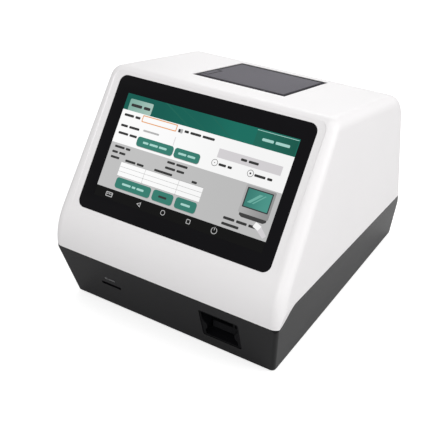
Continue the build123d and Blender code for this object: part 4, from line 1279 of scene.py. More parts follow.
        # A fifth of each turn stays empty, so that the turns can be told apart
        thickness = 0.8 * (outer - inner) / turns
        sizes = {
            "Inner Radius": ("NodeSocketFloat", inner),
            "Outer Radius": ("NodeSocketFloat", outer),
            "Width": ("NodeSocketFloat", width),
            "Turns": ("NodeSocketFloat", turns),
            "Thickness": ("NodeSocketFloat", thickness),
            "Finish": ("NodeSocketMaterial", FINISHES.get(finish)),
        }
        bench, start, end = cls.tree(name + "_spiral", sizes)
        spiral = bench.add(
            "GeometryNodeCurveSpiral",
            inputs={
                "Resolution": 40,
                "Rotations": start.outputs["Turns"],
                "Start Radius": start.outputs["Inner Radius"],
                "End Radius": start.outputs["Outer Radius"],
                "Height": 0.0,
            },
        )
        strip = bench.add(
            "GeometryNodeCurvePrimitiveQuadrilateral",
            inputs={"Width": start.outputs["Thickness"], "Height": start.outputs["Width"]},
        )
        solid = bench.add(
            "GeometryNodeCurveToMesh",
            inputs={"Curve": spiral.outputs[0], "Profile Curve": strip.outputs[0], "Fill Caps": True},
        )
        cls.close(bench, solid.outputs[0], start, end)
        return cls.run(name, bench, sizes, place, finish)


# Sub-assemblies


@dataclass(frozen=True)
class Lamp:
    """Soft square lamp."""

    name: str
    place: tuple[float, float, float]
    power: float
    side: float = 1.0
    target: tuple[float, float, float] = (0.0, 0.0, 0.12)

    def build(self) -> None:
        """Hang the lamp and point it."""
        data = bpy.data.lights.new(self.name, "AREA")
        data.size = self.side
        data.energy = self.power
        lamp = bpy.data.objects.new(self.name, data)
        place = Vector(self.place)
        aim = (Vector(self.target) - place).to_track_quat("-Z", "Y")
        lamp.matrix_world = Matrix.Translation(place) @ aim.to_matrix().to_4x4()
        bpy.context.scene.collection.objects.link(lamp)


@dataclass
class Studio:
    """Floor, light and camera."""

    eye: tuple[float, float, float] = (0.3393, -0.5807, 0.4868)
    back: tuple[float, float, float] = (0.4494, -0.7128, 0.5385)
    focal_pixels: float = 784.49
    image_pixels: float = 433.0
    floor_radius: float = 4.0
    ambient: float = 0.58
    floor_grey: float = 0.55
    seen_floor_grey: float = 0.7
    floor_glow: float = 0.62
    lamps: tuple[Lamp, ...] = (
        Lamp("lamp_top", (0.25, 0.15, 1.9), 5.6, 1.5),
        Lamp("lamp_right", (1.7, 0.35, 0.75), 13.0, target=(0.05, 0.0, 0.12)),
        Lamp("lamp_front", (0.55, -1.75, 0.9), 11.4),
        Lamp("lamp_back", (-0.7, 1.8, 0.9), 6.0),
    )

    def build(self) -> None:
        """Place everything around the object."""
        self.camera()
        self.world()
        self.floor()
        for lamp in self.lamps:
            lamp.build()
        bpy.context.scene.view_settings.view_transform = "Standard"

    def camera(self) -> None:
        """Camera at the photograph's viewing angle."""
        data = bpy.data.cameras.new("camera")
        data.sensor_width = 36.0
        data.lens = self.focal_pixels / self.image_pixels * data.sensor_width
        data.clip_end = 60.0
        eye = bpy.data.objects.new("camera", data)
        back = Vector(self.back).normalized()
        right = Vector((0.0, 0.0, 1.0)).cross(back).normalized()
        turn = Matrix((right, back.cross(right), back)).transposed().to_4x4()
        eye.matrix_world = Matrix.Translation(Vector(self.eye)) @ turn
        bpy.context.scene.collection.objects.link(eye)
        bpy.context.scene.camera = eye

    def world(self) -> None:
        """Plain pale surroundings, white where the camera or a reflection looks."""
        world = bpy.data.worlds.new("studio")
        bpy.context.scene.world = world
        world.use_nodes = True
        bench = Bench(world.node_tree)
        bench.tree.nodes.clear()
        path = bench.add("ShaderNodeLightPath")
        seen = Value(bench, path.outputs["Is Camera Ray"])
        seen = seen.top(Value(bench, path.outputs["Is Glossy Ray"]))
        seen = seen.top(Value(bench, path.outputs["Is Transmission Ray"]))
        strength = seen * (1.0 - self.ambient) + self.ambient
        light = bench.add("ShaderNodeBackground", inputs={"Color": (1.0, 1.0, 1.0), "Strength": strength})
        bench.add("ShaderNodeOutputWorld", inputs={"Surface": light.outputs[0]})

    def floor(self) -> None:
        """White floor that keeps the object's shadow."""
        shape = bmesh.new()
        bmesh.ops.create_circle(shape, cap_ends=True, segments=96, radius=self.floor_radius)
        mesh = Maker.mesh("floor", shape)
        piece = Maker.piece("floor", mesh)
        paint = Paint("floor_paper")
        paint.feed(Base_Color=(self.floor_grey,) * 3, Roughness=1.0, Specular_IOR_Level=0.0)
        path = paint.add("ShaderNodeLightPath")
        shade = paint.add("ShaderNodeBsdfDiffuse", inputs={"Color": (self.seen_floor_grey,) * 3})
        glow = paint.add("ShaderNodeEmission", inputs={"Color": (1.0, 1.0, 1.0), "Strength": self.floor_glow})
        seen = paint.add("ShaderNodeAddShader", inputs={0: shade.outputs[0], 1: glow.outputs[0]})
        mixed = paint.add(
            "ShaderNodeMixShader",
            inputs={0: path.outputs["Is Camera Ray"], 1: paint.shader.outputs[0], 2: seen.outputs[0]},
        )
        paint.tree.links.new(mixed.outputs[0], paint.output.inputs["Surface"])
        mesh.materials.append(paint.material)


@dataclass
class Canvas:
    """Flat coloured sheets laid over each other on the screen."""

    name: str
    lowest: float
    step: float
    word_gap: float = 0.75
    word_round: float = 0.3
    sheets: list[tuple[list[Point2], bpy.types.Material, float]] = field(default_factory=list)

    def sheet(self, outline: list[Point2], finish: Lit, layer: int) -> None:
        """Add a sheet.

        Args:
            outline: Its outline in millimetres on the screen, counter-clockwise.
            finish: Its colour.
            layer: Its place in the pile, from 0.
        """
        self.sheets.append((outline, FINISHES.lit(finish), self.lowest + layer * self.step))

    def words(
        self, left: float, middle: float, lengths: Sequence[float], height: float, finish: Lit, layer: int
    ) -> None:
        """Add bars in place of a line of words.

        Args:
            left: Left end of the line.
            middle: Height of its middle.
            lengths: Length of each bar.
            height: Height of the bars.
            finish: Their colour.
            layer: Their place in the pile.
        """
        rise = (middle - height / 2, middle + height / 2)
        for length in lengths:
            bar = Outline.rounded((left, left + length), rise, height * self.word_round, 2)
            self.sheet(bar, finish, layer)
            left += length + height * self.word_gap

    def ring(self, centre: Point2, radius: float, width: float, finish: Lit, layer: int) -> None:
        """Add a thin circle as two half bands.

        Args:
            centre: Its centre.
            radius: Radius of its middle line.
            width: Width of its line.
            finish: Its colour.
            layer: Its place in the pile.
        """
        for start in (0.0, 180.0):
            self.sheet(Outline.arc_band(centre, radius, width, start, 180.0), finish, layer)

    def piece(self, place: Place) -> bpy.types.Object:
        """Make the sheets one piece.

        Args:
            place: Frame of the screen.

        Returns:
            The object.
        """
        shape = bmesh.new()
        materials: list[bpy.types.Material] = []
        for outline, material, height in self.sheets:
            if material not in materials:
                materials.append(material)
            face = shape.faces.new([shape.verts.new((x, y, height)) for x, y in outline])
            face.normal_update()
            if face.normal.z < 0.0:
                face.normal_flip()
            face.material_index = materials.index(material)
        mesh = Maker.mesh(self.name, shape)
        mesh.transform(place.matrix())
        piece = Maker.piece(self.name, mesh)
        for material in materials:
            mesh.materials.append(material)
        return piece


@dataclass
class Screen:
    """Cover glass with its printed border, and the lit picture behind its window."""

    width: float = 203.1
    height: float = 129.0
    thickness: float = 1.8
    corner: float = 7.5
    picture_x: Span = (-87.8, 90.0)
    picture_y: Span = (-50.0, 48.9)
    recess: float = 0.22
    sheet_step: float = 0.03
    header_low: float = 33.5
    form_low: float = 1.8
    results_low: float = -40.3
    form_button_y: Span = (4.3, 13.2)
    results_button_y: Span = (-37.8, -27.9)
    button_round: float = 2.6
    button_word: float = 1.9
    choice_y: float = 10.2
    key_y: float = -45.4
    table_x: Span = (-70.3, 18.8)
    table_y: Span = (-26.8, -13.7)
    table_line: float = 0.3
    table_row: float = 4.33
    table_column: float = 36.5
    teal: Lit = Lit("lit_teal", (0.036, 0.205, 0.160))
    header: Lit = Lit("lit_header", (0.003, 0.104, 0.080), (0.006, 0.150, 0.112), 0.0, 0.05)
    header_block: Lit = Lit("lit_header_block", (0.010, 0.130, 0.095), (0.006, 0.095, 0.068), 0.07, 0.02)
    highlight: Lit = Lit("lit_highlight", (0.16, 0.45, 0.38))
    mint: Lit = Lit("lit_mint", (0.40, 0.68, 0.62))
    tab: Lit = Lit("lit_tab", (0.22, 0.42, 0.36), (0.40, 0.56, 0.50), -0.07, 0.014)
    white: Lit = Lit("lit_white", (0.97, 0.97, 0.97))
    pale: Lit = Lit("lit_pale", (0.68, 0.66, 0.68))
    grey: Lit = Lit("lit_grey", (0.53, 0.53, 0.53))
    line: Lit = Lit("lit_line", (0.36, 0.36, 0.36))
    orange: Lit = Lit("lit_orange", (0.80, 0.36, 0.13))
    ink: Lit = Lit("lit_ink", (0.035, 0.035, 0.035))
    faint: Lit = Lit("lit_faint", (0.45, 0.45, 0.45))
    black: Lit = Lit("lit_black", (0.001, 0.001, 0.001))
    icon: Lit = Lit("lit_icon", (0.50, 0.50, 0.50))
    drawn_case: Lit = Lit("lit_drawn_case", (0.44, 0.44, 0.44), (0.27, 0.27, 0.27), 0.071, 0.018)
    drawn_base: Lit = Lit("lit_drawn_base", (0.05, 0.05, 0.05))
    drawn_frame: Lit = Lit("lit_drawn_frame", (0.035, 0.045, 0.045))
    drawn_screen: Lit = Lit("lit_drawn_screen", (0.035, 0.19, 0.16), (0.07, 0.30, 0.25), 0.071, 0.012)

    def build(self) -> None:
        """Make the glass and the picture."""
        across, up = self.width / 2, self.height / 2
        border = Outline.rounded((-across, across), (-up, up), self.corner, 10)
        window = Outline.rounded(self.picture_x, self.picture_y, 0.3, 2)
        glass = Maker.plate(
            "cover_glass", [border, window], (-self.thickness, 0.0), SCREEN, ["screen_glass"], 0.12
        )
        Maker.finish(glass, Body.HOUSING, "screen_glass", ["touch_glass"])
        canvas = Canvas("screen_picture", -self.recess, self.sheet_step)
        ground = Outline.rounded(self.span(self.picture_x, 0.1), self.span(self.picture_y, 0.1), 0.1, 2)
        canvas.sheet(ground, self.black, 0)
        self.draw_header(canvas)
        self.draw_form(canvas)
        self.draw_results(canvas)
        self.draw_instrument(canvas)
        self.draw_keys(canvas)
        piece = canvas.piece(SCREEN)
        Maker.finish(piece, Body.HOUSING, "screen_glass")
        self.table()

    @staticmethod
    def span(limits: Span, more: float) -> Span:
        """Limits moved apart by a little at each end."""
        return (limits[0] - more, limits[1] + more)

    def box(self, canvas: Canvas, x: Span, y: Span, finish: Lit, layer: int, corner: float = 0.01) -> None:
        """Rectangle on the canvas.

        Args:
            canvas: Canvas to draw on.
            x: Limits across.
            y: Limits up the screen.
            finish: Its colour.
            layer: Its place in the pile.
            corner: Corner radius.
        """
        canvas.sheet(Outline.rounded(x, y, corner, 5 if corner > 0.5 else 1), finish, layer)

    def draw_header(self, canvas: Canvas) -> None:
        """Green bar with a tab at the left and a block at the right.

        Args:
            canvas: Canvas to draw on.
        """
        low, high = self.header_low, self.picture_y[1]
        self.box(canvas, self.picture_x, (low, high), self.header, 1)
        self.box(canvas, (-83.0, -57.2), (low, 44.6), self.tab, 2, 1.2)
        canvas.words(-80.4, 39.0, (12.0, 7.2), 2.7, self.ink, 3)
        self.box(canvas, (50.0, 89.3), (34.0, 47.6), self.header_block, 2)
        self.box(canvas, (50.0, 89.3), (47.3, 47.8), self.mint, 3)
        canvas.words(56.8, 40.6, (11.0, 13.4), 2.4, self.mint, 3)
        for start, reach, width in ((-46.0, 30.0, 2.6), (-30.0, 34.0, 1.4), (2.0, 26.0, 1.8)):
            end = start + reach
            streak = [(start, high), (start + width, high), (end + width, low), (end, low)]
            canvas.sheet(streak, self.header_block, 2)

    def draw_form(self, canvas: Canvas) -> None:
        """White panel with labels, the field being filled in, buttons and choices.

        Args:
            canvas: Canvas to draw on.
        """
        self.box(canvas, self.picture_x, (self.form_low, self.header_low), self.white, 1)
        canvas.words(-84.2, 28.9, (10.6, 5.6), 2.3, self.ink, 2)
        self.box(canvas, (-64.3, -26.0), (26.3, 32.8), self.orange, 2, 0.9)
        self.box(canvas, (-63.4, -26.9), (27.2, 31.9), self.white, 3, 0.5)
        self.box(canvas, (-24.0, -21.6), (26.6, 29.8), self.ink, 2, 0.6)
        self.box(canvas, (-21.8, -19.2), (26.2, 30.2), self.faint, 2, 0.6)
        canvas.words(-17.6, 28.9, (4.6, 11.2, 12.4), 2.2, self.ink, 2)
        canvas.words(-84.2, 18.7, (7.8, 11.4), 2.2, self.ink, 2)
        canvas.words(-59.0, 19.3, (17.4,), 1.7, self.faint, 2)
        self.box(canvas, (-24.6, -23.9), (14.0, 21.8), self.pale, 2)
        canvas.words(-84.2, 11.5, (11.0, 8.2), 2.2, self.ink, 2)
        self.button(canvas, (-62.0, -22.2), self.form_button_y, (6.0, 9.0, 8.2), self.mint)
        self.button(canvas, (-20.8, 5.9), self.form_button_y, (8.4, 8.0), self.mint)
        self.box(canvas, (21.2, 83.2), (15.2, 23.3), self.pale, 2)
        canvas.words(44.0, 19.3, (6.0, 9.6), 2.2, self.ink, 3)
        for centre, chosen in ((21.0, False), (56.6, True)):
            canvas.ring((centre, self.choice_y), 2.85, 0.45, self.ink, 2)
            dot = Outline.disc((centre, self.choice_y), 0.9 if chosen else 0.4, 20)
            canvas.sheet(dot, self.ink, 3)
        canvas.words(25.2, 9.8, (7.4, 4.2), 2.2, self.ink, 2)
        canvas.words(60.6, 9.8, (10.6, 4.8), 2.2, self.ink, 2)

    def button(self, canvas: Canvas, x: Span, y: Span, lengths: Sequence[float], ink: Lit) -> None:
        """Rounded green button with a line of words.

        Args:
            canvas: Canvas to draw on.
            x: Limits across.
            y: Limits up the screen.
            lengths: Length of each word bar.
            ink: Colour of the words.
        """
        shadow_x, shadow_y = (x[0] + 0.5, x[1] + 0.3), (y[0] - 0.5, y[1] - 0.4)
        self.box(canvas, shadow_x, shadow_y, self.line, 2, self.button_round)
        self.box(canvas, x, y, self.teal, 3, self.button_round)
        total = sum(lengths) + (len(lengths) - 1) * self.button_word * canvas.word_gap
        left = (x[0] + x[1] - total) / 2
        canvas.words(left, (y[0] + y[1]) / 2, lengths, self.button_word, ink, 4)

    def draw_results(self, canvas: Canvas) -> None:
        """Grey panel with labels, a table's white ground and three buttons.

        Args:
            canvas: Canvas to draw on.
        """
        self.box(canvas, self.picture_x, (self.results_low, self.form_low), self.grey, 1)
        lines = (
            (-83.0, -1.4, (11.0, 5.0)), (-24.2, -1.4, (8.2, 11.8)), (-84.0, -6.6, (6.4, 7.0)),
            (-24.6, -6.6, (10.8, 8.0)), (-83.8, -11.6, (9.8,)), (-66.9, -11.6, (11.4, 7.6)),
            (-34.4, -11.6, (19.4,)), (5.7, -11.6, (5.4,)),
        )
        for left, middle, lengths in lines:
            canvas.words(left, middle, lengths, 2.1, self.ink, 2)
        self.box(canvas, self.table_x, self.table_y, self.white, 2)
        for x, words, ink in (
            ((-69.3, -30.4), (9.6, 4.0, 7.6), self.mint),
            ((-28.0, -6.2), (8.6,), self.ink),
            ((-3.6, 18.3), (9.6,), self.mint),
        ):
            self.button(canvas, x, self.results_button_y, words, ink)
        canvas.words(45.8, -31.9, (11.0, 10.2, 9.0), 2.3, self.ink, 2)
        canvas.words(45.8, -36.9, (16.8,), 2.3, self.ink, 2)

    def draw_instrument(self, canvas: Canvas) -> None:
        """Small drawing of an instrument and a cartridge going in.

        Args:
            canvas: Canvas to draw on.
        """
        base = [(58.6, -25.4), (61.4, -27.0), (82.0, -27.0), (84.6, -25.4), (84.6, -23.0), (58.6, -23.0)]
        canvas.sheet(base, self.drawn_base, 2)
        self.box(canvas, (57.0, 85.6), (-23.6, 0.9), self.drawn_case, 3, 1.4)
        self.box(canvas, (58.8, 83.6), (-18.4, -0.9), self.drawn_frame, 4, 0.6)
        self.box(canvas, (60.0, 82.6), (-17.4, -1.9), self.drawn_screen, 5, 0.3)
        low, high, lean = -13.6, -4.6, 9.6
        for left, reach in ((62.0, 3.4), (67.0, 1.4)):
            right = left + reach
            gleam = [(left, low), (right, low), (right + lean, high), (left + lean, high)]
            canvas.sheet(gleam, self.highlight, 6)
        canvas.sheet([(74.4, -31.6), (79.8, -33.6), (82.2, -29.4), (76.2, -27.0)], self.white, 4)
        canvas.sheet([(78.6, -33.4), (86.2, -38.6), (88.6, -35.8), (82.0, -29.8)], self.pale, 3)

    def draw_keys(self, canvas: Canvas) -> None:
        """Navigation bar with its five signs.

        Args:
            canvas: Canvas to draw on.
        """
        middle = self.key_y
        canvas.sheet(Outline.rounded((-75.4, -67.8), (middle - 2.3, middle + 2.1), 0.8, 3), self.icon, 2)
        canvas.sheet(Outline.rounded((-74.6, -68.6), (middle - 1.6, middle + 1.4), 0.4, 3), self.black, 3)
        for column in range(3):
            left = -73.9 + column * 1.9
            self.box(canvas, (left, left + 1.2), (middle - 0.3, middle + 0.8), self.icon, 4)
        canvas.sheet([(-40.6, middle), (-36.2, middle - 2.4), (-36.2, middle + 2.4)], self.icon, 2)
        canvas.sheet([(-39.4, middle), (-36.8, middle - 1.4), (-36.8, middle + 1.4)], self.black, 3)
        canvas.ring((-11.7, middle), 2.1, 0.55, self.icon, 2)
        self.box(canvas, (13.2, 17.4), (middle - 2.1, middle + 2.1), self.icon, 2, 0.5)
        self.box(canvas, (13.8, 16.8), (middle - 1.5, middle + 1.5), self.black, 3, 0.3)
        canvas.sheet(Outline.arc_band((41.7, middle), 2.7, 0.6, 118.0, 304.0), self.icon, 2)
        self.box(canvas, (41.4, 42.0), (middle + 0.4, middle + 3.4), self.icon, 2)

    def table(self) -> None:
        """Lines of the results table, as two rows of bars."""
        FINISHES.lit(self.line)
        # Just above the picture's third sheet, so that the lines lie on the white ground
        height = -self.recess + 0.095
        wide, deep = self.table_x[1] - self.table_x[0], 0.01
        rows = Repeats.row(
            "table_rows", 4, (0.0, self.table_row, 0.0), (wide, self.table_line, deep),
            (sum(self.table_x) / 2, self.table_y[0] + 0.1, height), SCREEN, "lit_line",
        )
        columns = Repeats.row(
            "table_columns", 2, (self.table_column, 0.0, 0.0), (self.table_line, 13.0, deep),
            (-42.8, -20.2, height), SCREEN, "lit_line",
        )
        lines = Maker.joined("results_table", [rows, columns])
        Maker.finish(lines, Body.HOUSING, "screen_glass")


@dataclass
class Casing:
    """White upper shell on the dark base."""

    shell_slots: tuple[tuple[str, str], ...] = (("upper_shell", "white_shell"), ("base_shell", "dark_shell"))

    def build(self) -> None:
        """Paint the shells."""
        for node, finish in self.shell_slots:
            paint_node(node, finish)


@dataclass(frozen=True)
class Screws:
    """Machine screws of one node, drawn again with cut heads."""

    node: str
    place: Place
    head_radius: float = 2.6
    head_height: float = 1.6
    cut_depth: float = 0.9
    tip: float = 0.3
    cut_reach: float = 0.62
    cut_half_width: float = 0.15
    sides: int = 28
    end_band: float = 0.1

    def cut(self) -> list[Point2]:
        """Outline of the cross cut in the head."""
        reach = self.head_radius * self.cut_reach
        half = self.head_radius * self.cut_half_width
        corner = ((reach, half), (half, half), (half, reach))
        points = []
        for turn in range(4):
            for x, y in corner:
                for _ in range(turn):
                    x, y = -y, x
                points.append((x, y))
        return points

    def build(self) -> None:
        """Put a drawn screw in the place of each of the node's screws."""
        spots = []
        for points in Maker.islands(self.node, self.place):
            low, high = min(p.z for p in points), max(p.z for p in points)
            x = (min(p.x for p in points) + max(p.x for p in points)) / 2
            y = (min(p.y for p in points) + max(p.y for p in points)) / 2
            spots.append((x, y, low, high, points))
        x, y, low, high, points = spots[0]
        upper = max(math.hypot(p.x - x, p.y - y) for p in points if p.z > high - self.end_band)
        lower = max(math.hypot(p.x - x, p.y - y) for p in points if p.z < low + self.end_band)
        upright = upper > lower
        length = high - low
        shaft = min(upper, lower)
        ring = Outline.disc((0.0, 0.0), self.head_radius, self.sides)
        head = Maker.plate(self.node + "_head", [ring, self.cut()], (-self.cut_depth, 0.0), WORLD, ["steel"])
        profile = [
            (0.0, -self.cut_depth),
            (self.head_radius, -self.cut_depth),
            (self.head_radius, -self.head_height),
            (shaft, -self.head_height),
            (shaft, self.tip - length),
            (shaft - self.tip, -length),
            (0.0, -length),
        ]
        body = Maker.turned(self.node + "_shaft", profile, WORLD, ["steel"], self.sides)
        model = Maker.joined(self.node + "_model", [head, body])
        axes = self.place if upright else Place(self.place.origin, self.place.x, -self.place.y, -self.place.z)
        turn = axes.turn().to_euler()
        heads = [self.place.at(x, y, high if upright else low) for x, y, low, high, _ in spots]
        piece = Repeats.scattered(self.node + "_drawn", heads, turn, model, "steel")
        Maker.finish(piece, Body.HOUSING, "steel", [self.node])


@dataclass
class TopPrinter:
    """Receipt printer under the lid: bezel, lid, release, roll, cutter and drive."""

    roll_y: float = 16.0
    roll_z: float = -31.0
    roll_radius: float = 22.0
    core_radius: float = 6.05
    roll_width: float = 57.0
    roll_skin: float = 0.25
    turns: float = 34.0
    lid_edge: tuple[float, float, float] = (45.35, -43.05, 41.5)
    notch: tuple[float, float, float] = (-34.0, -9.0, -39.6)
    # Painted shadow round the lid: width of its line, and of the line along the front
    gap_shadow_width: float = 0.9
    front_gap_shadow: float = 2.6
    tear_y: float = -44.55
    tear_top: float = -0.8
    teeth: int = 52
    tooth_pitch: float = 1.05
    tooth_size: tuple[float, float, float] = (0.5, 0.4, 0.5)
    print_height: float = 0.04

    def build(self) -> None:
        """Dress the printer's parts."""
        Maker.dressed("printer_bezel", Body.HOUSING, "printer_black", 0.25, "dark_grey_plastic")
        Maker.dressed("printer_lid", Body.LID, "lid_plastic", 0.3, "dark_grey_plastic")
        Maker.dressed("lid_release", Body.RELEASE, "lid_plastic", 0.25, "dark_grey_plastic")
        Maker.dressed("print_head", Body.HEAD, "bare_aluminium", 0.15)
        self.gap_shadow()
        self.paper()
        self.cutter()

    def gap_shadow(self) -> None:
        """Painted shadow: a dark line round the lid and round the notch for its release, for the shade in the
        gaps.
        """
        x, front, back = self.lid_edge
        near, far, deep = self.notch
        line = self.gap_shadow_width
        outer = [
            (line - x, front), (x - line, front), (x, front + line), (x, back), (-x, back),
            (-x, far), (deep, far), (deep, near), (-x, near), (-x, front + line),
        ]
        inner = [
            (line - x, front + self.front_gap_shadow), (x - line, front + self.front_gap_shadow), (x - line, back - line),
            (line - x, back - line), (line - x, far + line), (deep + line, far + line),
            (deep + line, near - line), (line - x, near - line),
        ]
        # Dark band of painted shade for the gaps, laid on the lid's top
        band = Maker.plate("lid_trim", [outer, inner], (0.0, self.print_height), TOP, ["printer_black"])
        Maker.finish(band, Body.LID, "dark_grey_plastic")

    def paper(self) -> None:
        """Roll of thermal paper wound about its core."""
        origin = TOP.at(0.0, self.roll_y, self.roll_z)
        along = Place(origin, TOP.y, TOP.z, TOP.x)
        outer = self.roll_radius - self.roll_skin
        roll = Repeats.wound(
            "paper_wound", self.core_radius, outer, self.roll_width, self.turns, along, "paper"
        )
        Maker.finish(roll, Body.PAPER, "paper", ["paper_roll"])

    def cutter(self) -> None:
        """Teeth along the tear bar."""
        half = (self.teeth - 1) * self.tooth_pitch / 2
        teeth = Repeats.row(
            "tear_teeth", self.teeth, (self.tooth_pitch, 0.0, 0.0), self.tooth_size,
            (-half, self.tear_y, self.tear_top + 0.1), TOP, "stainless_blade",
        )
        Maker.finish(teeth, Body.HOUSING, "stainless_blade")


@dataclass
class CartridgeBay:
    """Front port and the tray that draws a test cartridge in."""

    tray_x: Span = (47.7, 73.7)
    pocket_floor: float = 27.0
    arrow_y: Span = (-112.0, -104.0)
    arrow_half: float = 4.0
    print_height: float = 0.04

    def build(self) -> None:
        """Dress the port and the tray, and print the arrow in the pocket."""
        Maker.dressed("port_bezel", Body.HOUSING, "port_black", 0.25, "black_plastic")
        Maker.dressed("cartridge_tray", Body.TRAY, "tray_black", 0.2, "dark_grey_plastic")
        middle = sum(self.tray_x) / 2
        low, high = self.arrow_y
        arrow = [(middle - self.arrow_half, low), (middle + self.arrow_half, low), (middle, high)]
        rise = (self.pocket_floor, self.pocket_floor + self.print_height)
        mark = Maker.plate("way_in_mark", [arrow], rise, WORLD, ["print_grey"])
        Maker.finish(mark, Body.TRAY, "dark_grey_plastic")


@dataclass
class CardReader:
    """Mark printed above the slot for the code card."""

    slot_x: float = -121.5
    mark_y: Span = (5.9, 8.3)
    icon_x: Span = (-5.9, -2.7)
    bar_x: Span = (-1.6, 6.0)
    print_height: float = 0.05

    def build(self) -> None:
        """Print the mark as a square and a bar."""
        low, high = self.mark_y
        icon_x, bar_x = (
            (self.slot_x + left, self.slot_x + right) for left, right in (self.icon_x, self.bar_x)
        )
        icon = Outline.rounded(icon_x, (low, high), 0.4, 3)
        bar = Outline.rounded(bar_x, (low + 0.3, high - 0.4), 0.3, 3)
        mark = Maker.plate("card_mark", [icon, bar], (0.0, self.print_height), PORT, ["print_grey"])
        Maker.finish(mark, Body.HOUSING, "dark_shell")


@dataclass
class RearPanel:
    """Panel on the back with the sockets and the power switch."""

    panel_top: float = -3.2
    dc_x: float = 52.0
    switch_x: float = 33.0
    lan_x: float = -9.0
    icon_y: float = -10.2
    print_height: float = 0.04
    spring_count: int = 8
    spring_pitch: float = 1.02
    spring_size: tuple[float, float, float] = (0.4, 0.3, 6.0)
    ring_radii: tuple[float, float] = (1.3, 0.9)
    ring_shift: float = -2.6
    dot_radius: float = 0.45
    square_half: float = 0.7
    square_shifts: tuple[float, ...] = (-2.2, 0.0, 2.2)

    def build(self) -> None:
        """Dress the panel and its sockets, and print the icons."""
        Maker.dressed("rear_panel", Body.HOUSING, "black_plastic", 0.15)
        for node, finish, edge in (
            ("dc_inlet", "black_plastic", 0.2), ("power_switch", "black_plastic", 0.25),
            ("usb_sockets", "socket_steel", 0.1), ("lan_socket", "socket_steel", 0.15),
            ("serial_socket", "socket_steel", 0.1),
        ):
            Maker.dressed(node, Body.HOUSING, finish, edge)
        Maker.dressed("power_rocker", Body.ROCKER, "black_plastic", 0.25)
        self.contacts()
        self.icons()

    def contacts(self) -> None:
        """Gold springs of the network socket."""
        half = (self.spring_count - 1) * self.spring_pitch / 2
        springs = Repeats.row(
            "network_springs", self.spring_count, (self.spring_pitch, 0.0, 0.0), self.spring_size,
            (self.lan_x - half, 2.4, -9.5), PANEL, "contact_gold",
        )
        Maker.finish(springs, Body.HOUSING, "socket_steel")

    def icons(self) -> None:
        """Plain marks printed under the sockets."""
        y = self.icon_y
        bar = Outline.rounded((self.switch_x + 2.4, self.switch_x + 2.9), (y - 1.2, y + 1.2), 0.2, 2)
        ring_x = self.switch_x + self.ring_shift
        ring = [Outline.disc((ring_x, y), radius, 24) for radius in self.ring_radii]
        plug = [Outline.disc((self.dc_x, y), radius, 24) for radius in self.ring_radii]
        plug.append(Outline.disc((self.dc_x, y), self.dot_radius, 16))
        half, squares = self.square_half, []
        for middle in (self.lan_x + shift for shift in self.square_shifts):
            squares.append(Outline.rounded((middle - half, middle + half), (y - half, y + half), 0.1, 2))
        rise = (self.panel_top, self.panel_top + self.print_height)
        marks = Maker.plate("panel_marks", [bar, *ring, *plug, *squares], rise, PANEL, ["print_grey"])
        Maker.finish(marks, Body.HOUSING, "black_plastic")


@dataclass
class Fan:
    """Axial fan behind the grille in the back."""

    frame_edge: float = 0.3
    rotor_edge: float = 0.2
    screw_cut: float = 0.8

    def build(self) -> None:
        """Dress the fan and draw its screws."""
        Maker.dressed("fan_frame", Body.HOUSING, "black_plastic", self.frame_edge)
        Maker.dressed("fan_rotor", Body.FAN, "black_plastic", self.rotor_edge)
        Screws("fan_screws", FAN, cut_depth=self.screw_cut).build()


@dataclass
class Electronics:
    """Small metal parts of the main board: chip legs and capacitor tops."""

    chip_x: Span = (-55.5, -39.5)
    chip_y: Span = (-18.0, -2.0)
    seat: float = 21.7
    leg_count: int = 20
    leg_pitch: float = 0.75
    leg_reach: float = 1.2
    leg_width: float = 0.3
    leg_height: float = 0.15
    capacitor_x: float = 6.0
    capacitor_y: tuple[float, ...] = (-22.0, -10.0, 2.0)
    capacitor_top: float = 33.7
    top_profile: tuple[Point2, ...] = ((0.0, -0.2), (3.6, -0.2), (3.6, 0.05), (3.3, 0.15), (0.0, 0.15))

    def build(self) -> None:
        """Add the small metal parts of the main board."""
        self.legs()
        self.capacitor_tops()

    def legs(self) -> None:
        """Legs on the four sides of the main chip."""
        half = (self.leg_count - 1) * self.leg_pitch / 2
        middle_x, middle_y = sum(self.chip_x) / 2, sum(self.chip_y) / 2
        reach, pitch, z = self.leg_reach, self.leg_pitch, self.seat + 0.1
        along_x = (pitch, 0.0, 0.0), (self.leg_width, reach, self.leg_height)
        along_y = (0.0, pitch, 0.0), (reach, self.leg_width, self.leg_height)
        sides = (
            ("front", along_x, (middle_x - half, self.chip_y[0] - reach / 2, z)),
            ("back", along_x, (middle_x - half, self.chip_y[1] + reach / 2, z)),
            ("left", along_y, (self.chip_x[0] - reach / 2, middle_y - half, z)),
            ("right", along_y, (self.chip_x[1] + reach / 2, middle_y - half, z)),
        )
        parts = [
            Repeats.row("legs_" + side, self.leg_count, step, size, first, WORLD, "socket_steel")
            for side, (step, size), first in sides
        ]
        Maker.finish(Maker.joined("chip_legs", parts), Body.HOUSING, "board_part")

    def capacitor_tops(self) -> None:
        """Aluminium tops of the capacitors."""
        model = Maker.turned("capacitor_model", self.top_profile, WORLD, ["bare_aluminium"], 32)
        spots = [WORLD.at(self.capacitor_x, y, self.capacitor_top) for y in self.capacitor_y]
        tops = Repeats.scattered("capacitor_tops", spots, (0.0, 0.0, 0.0), model, "bare_aluminium")
        Maker.finish(tops, Body.HOUSING, "board_part")


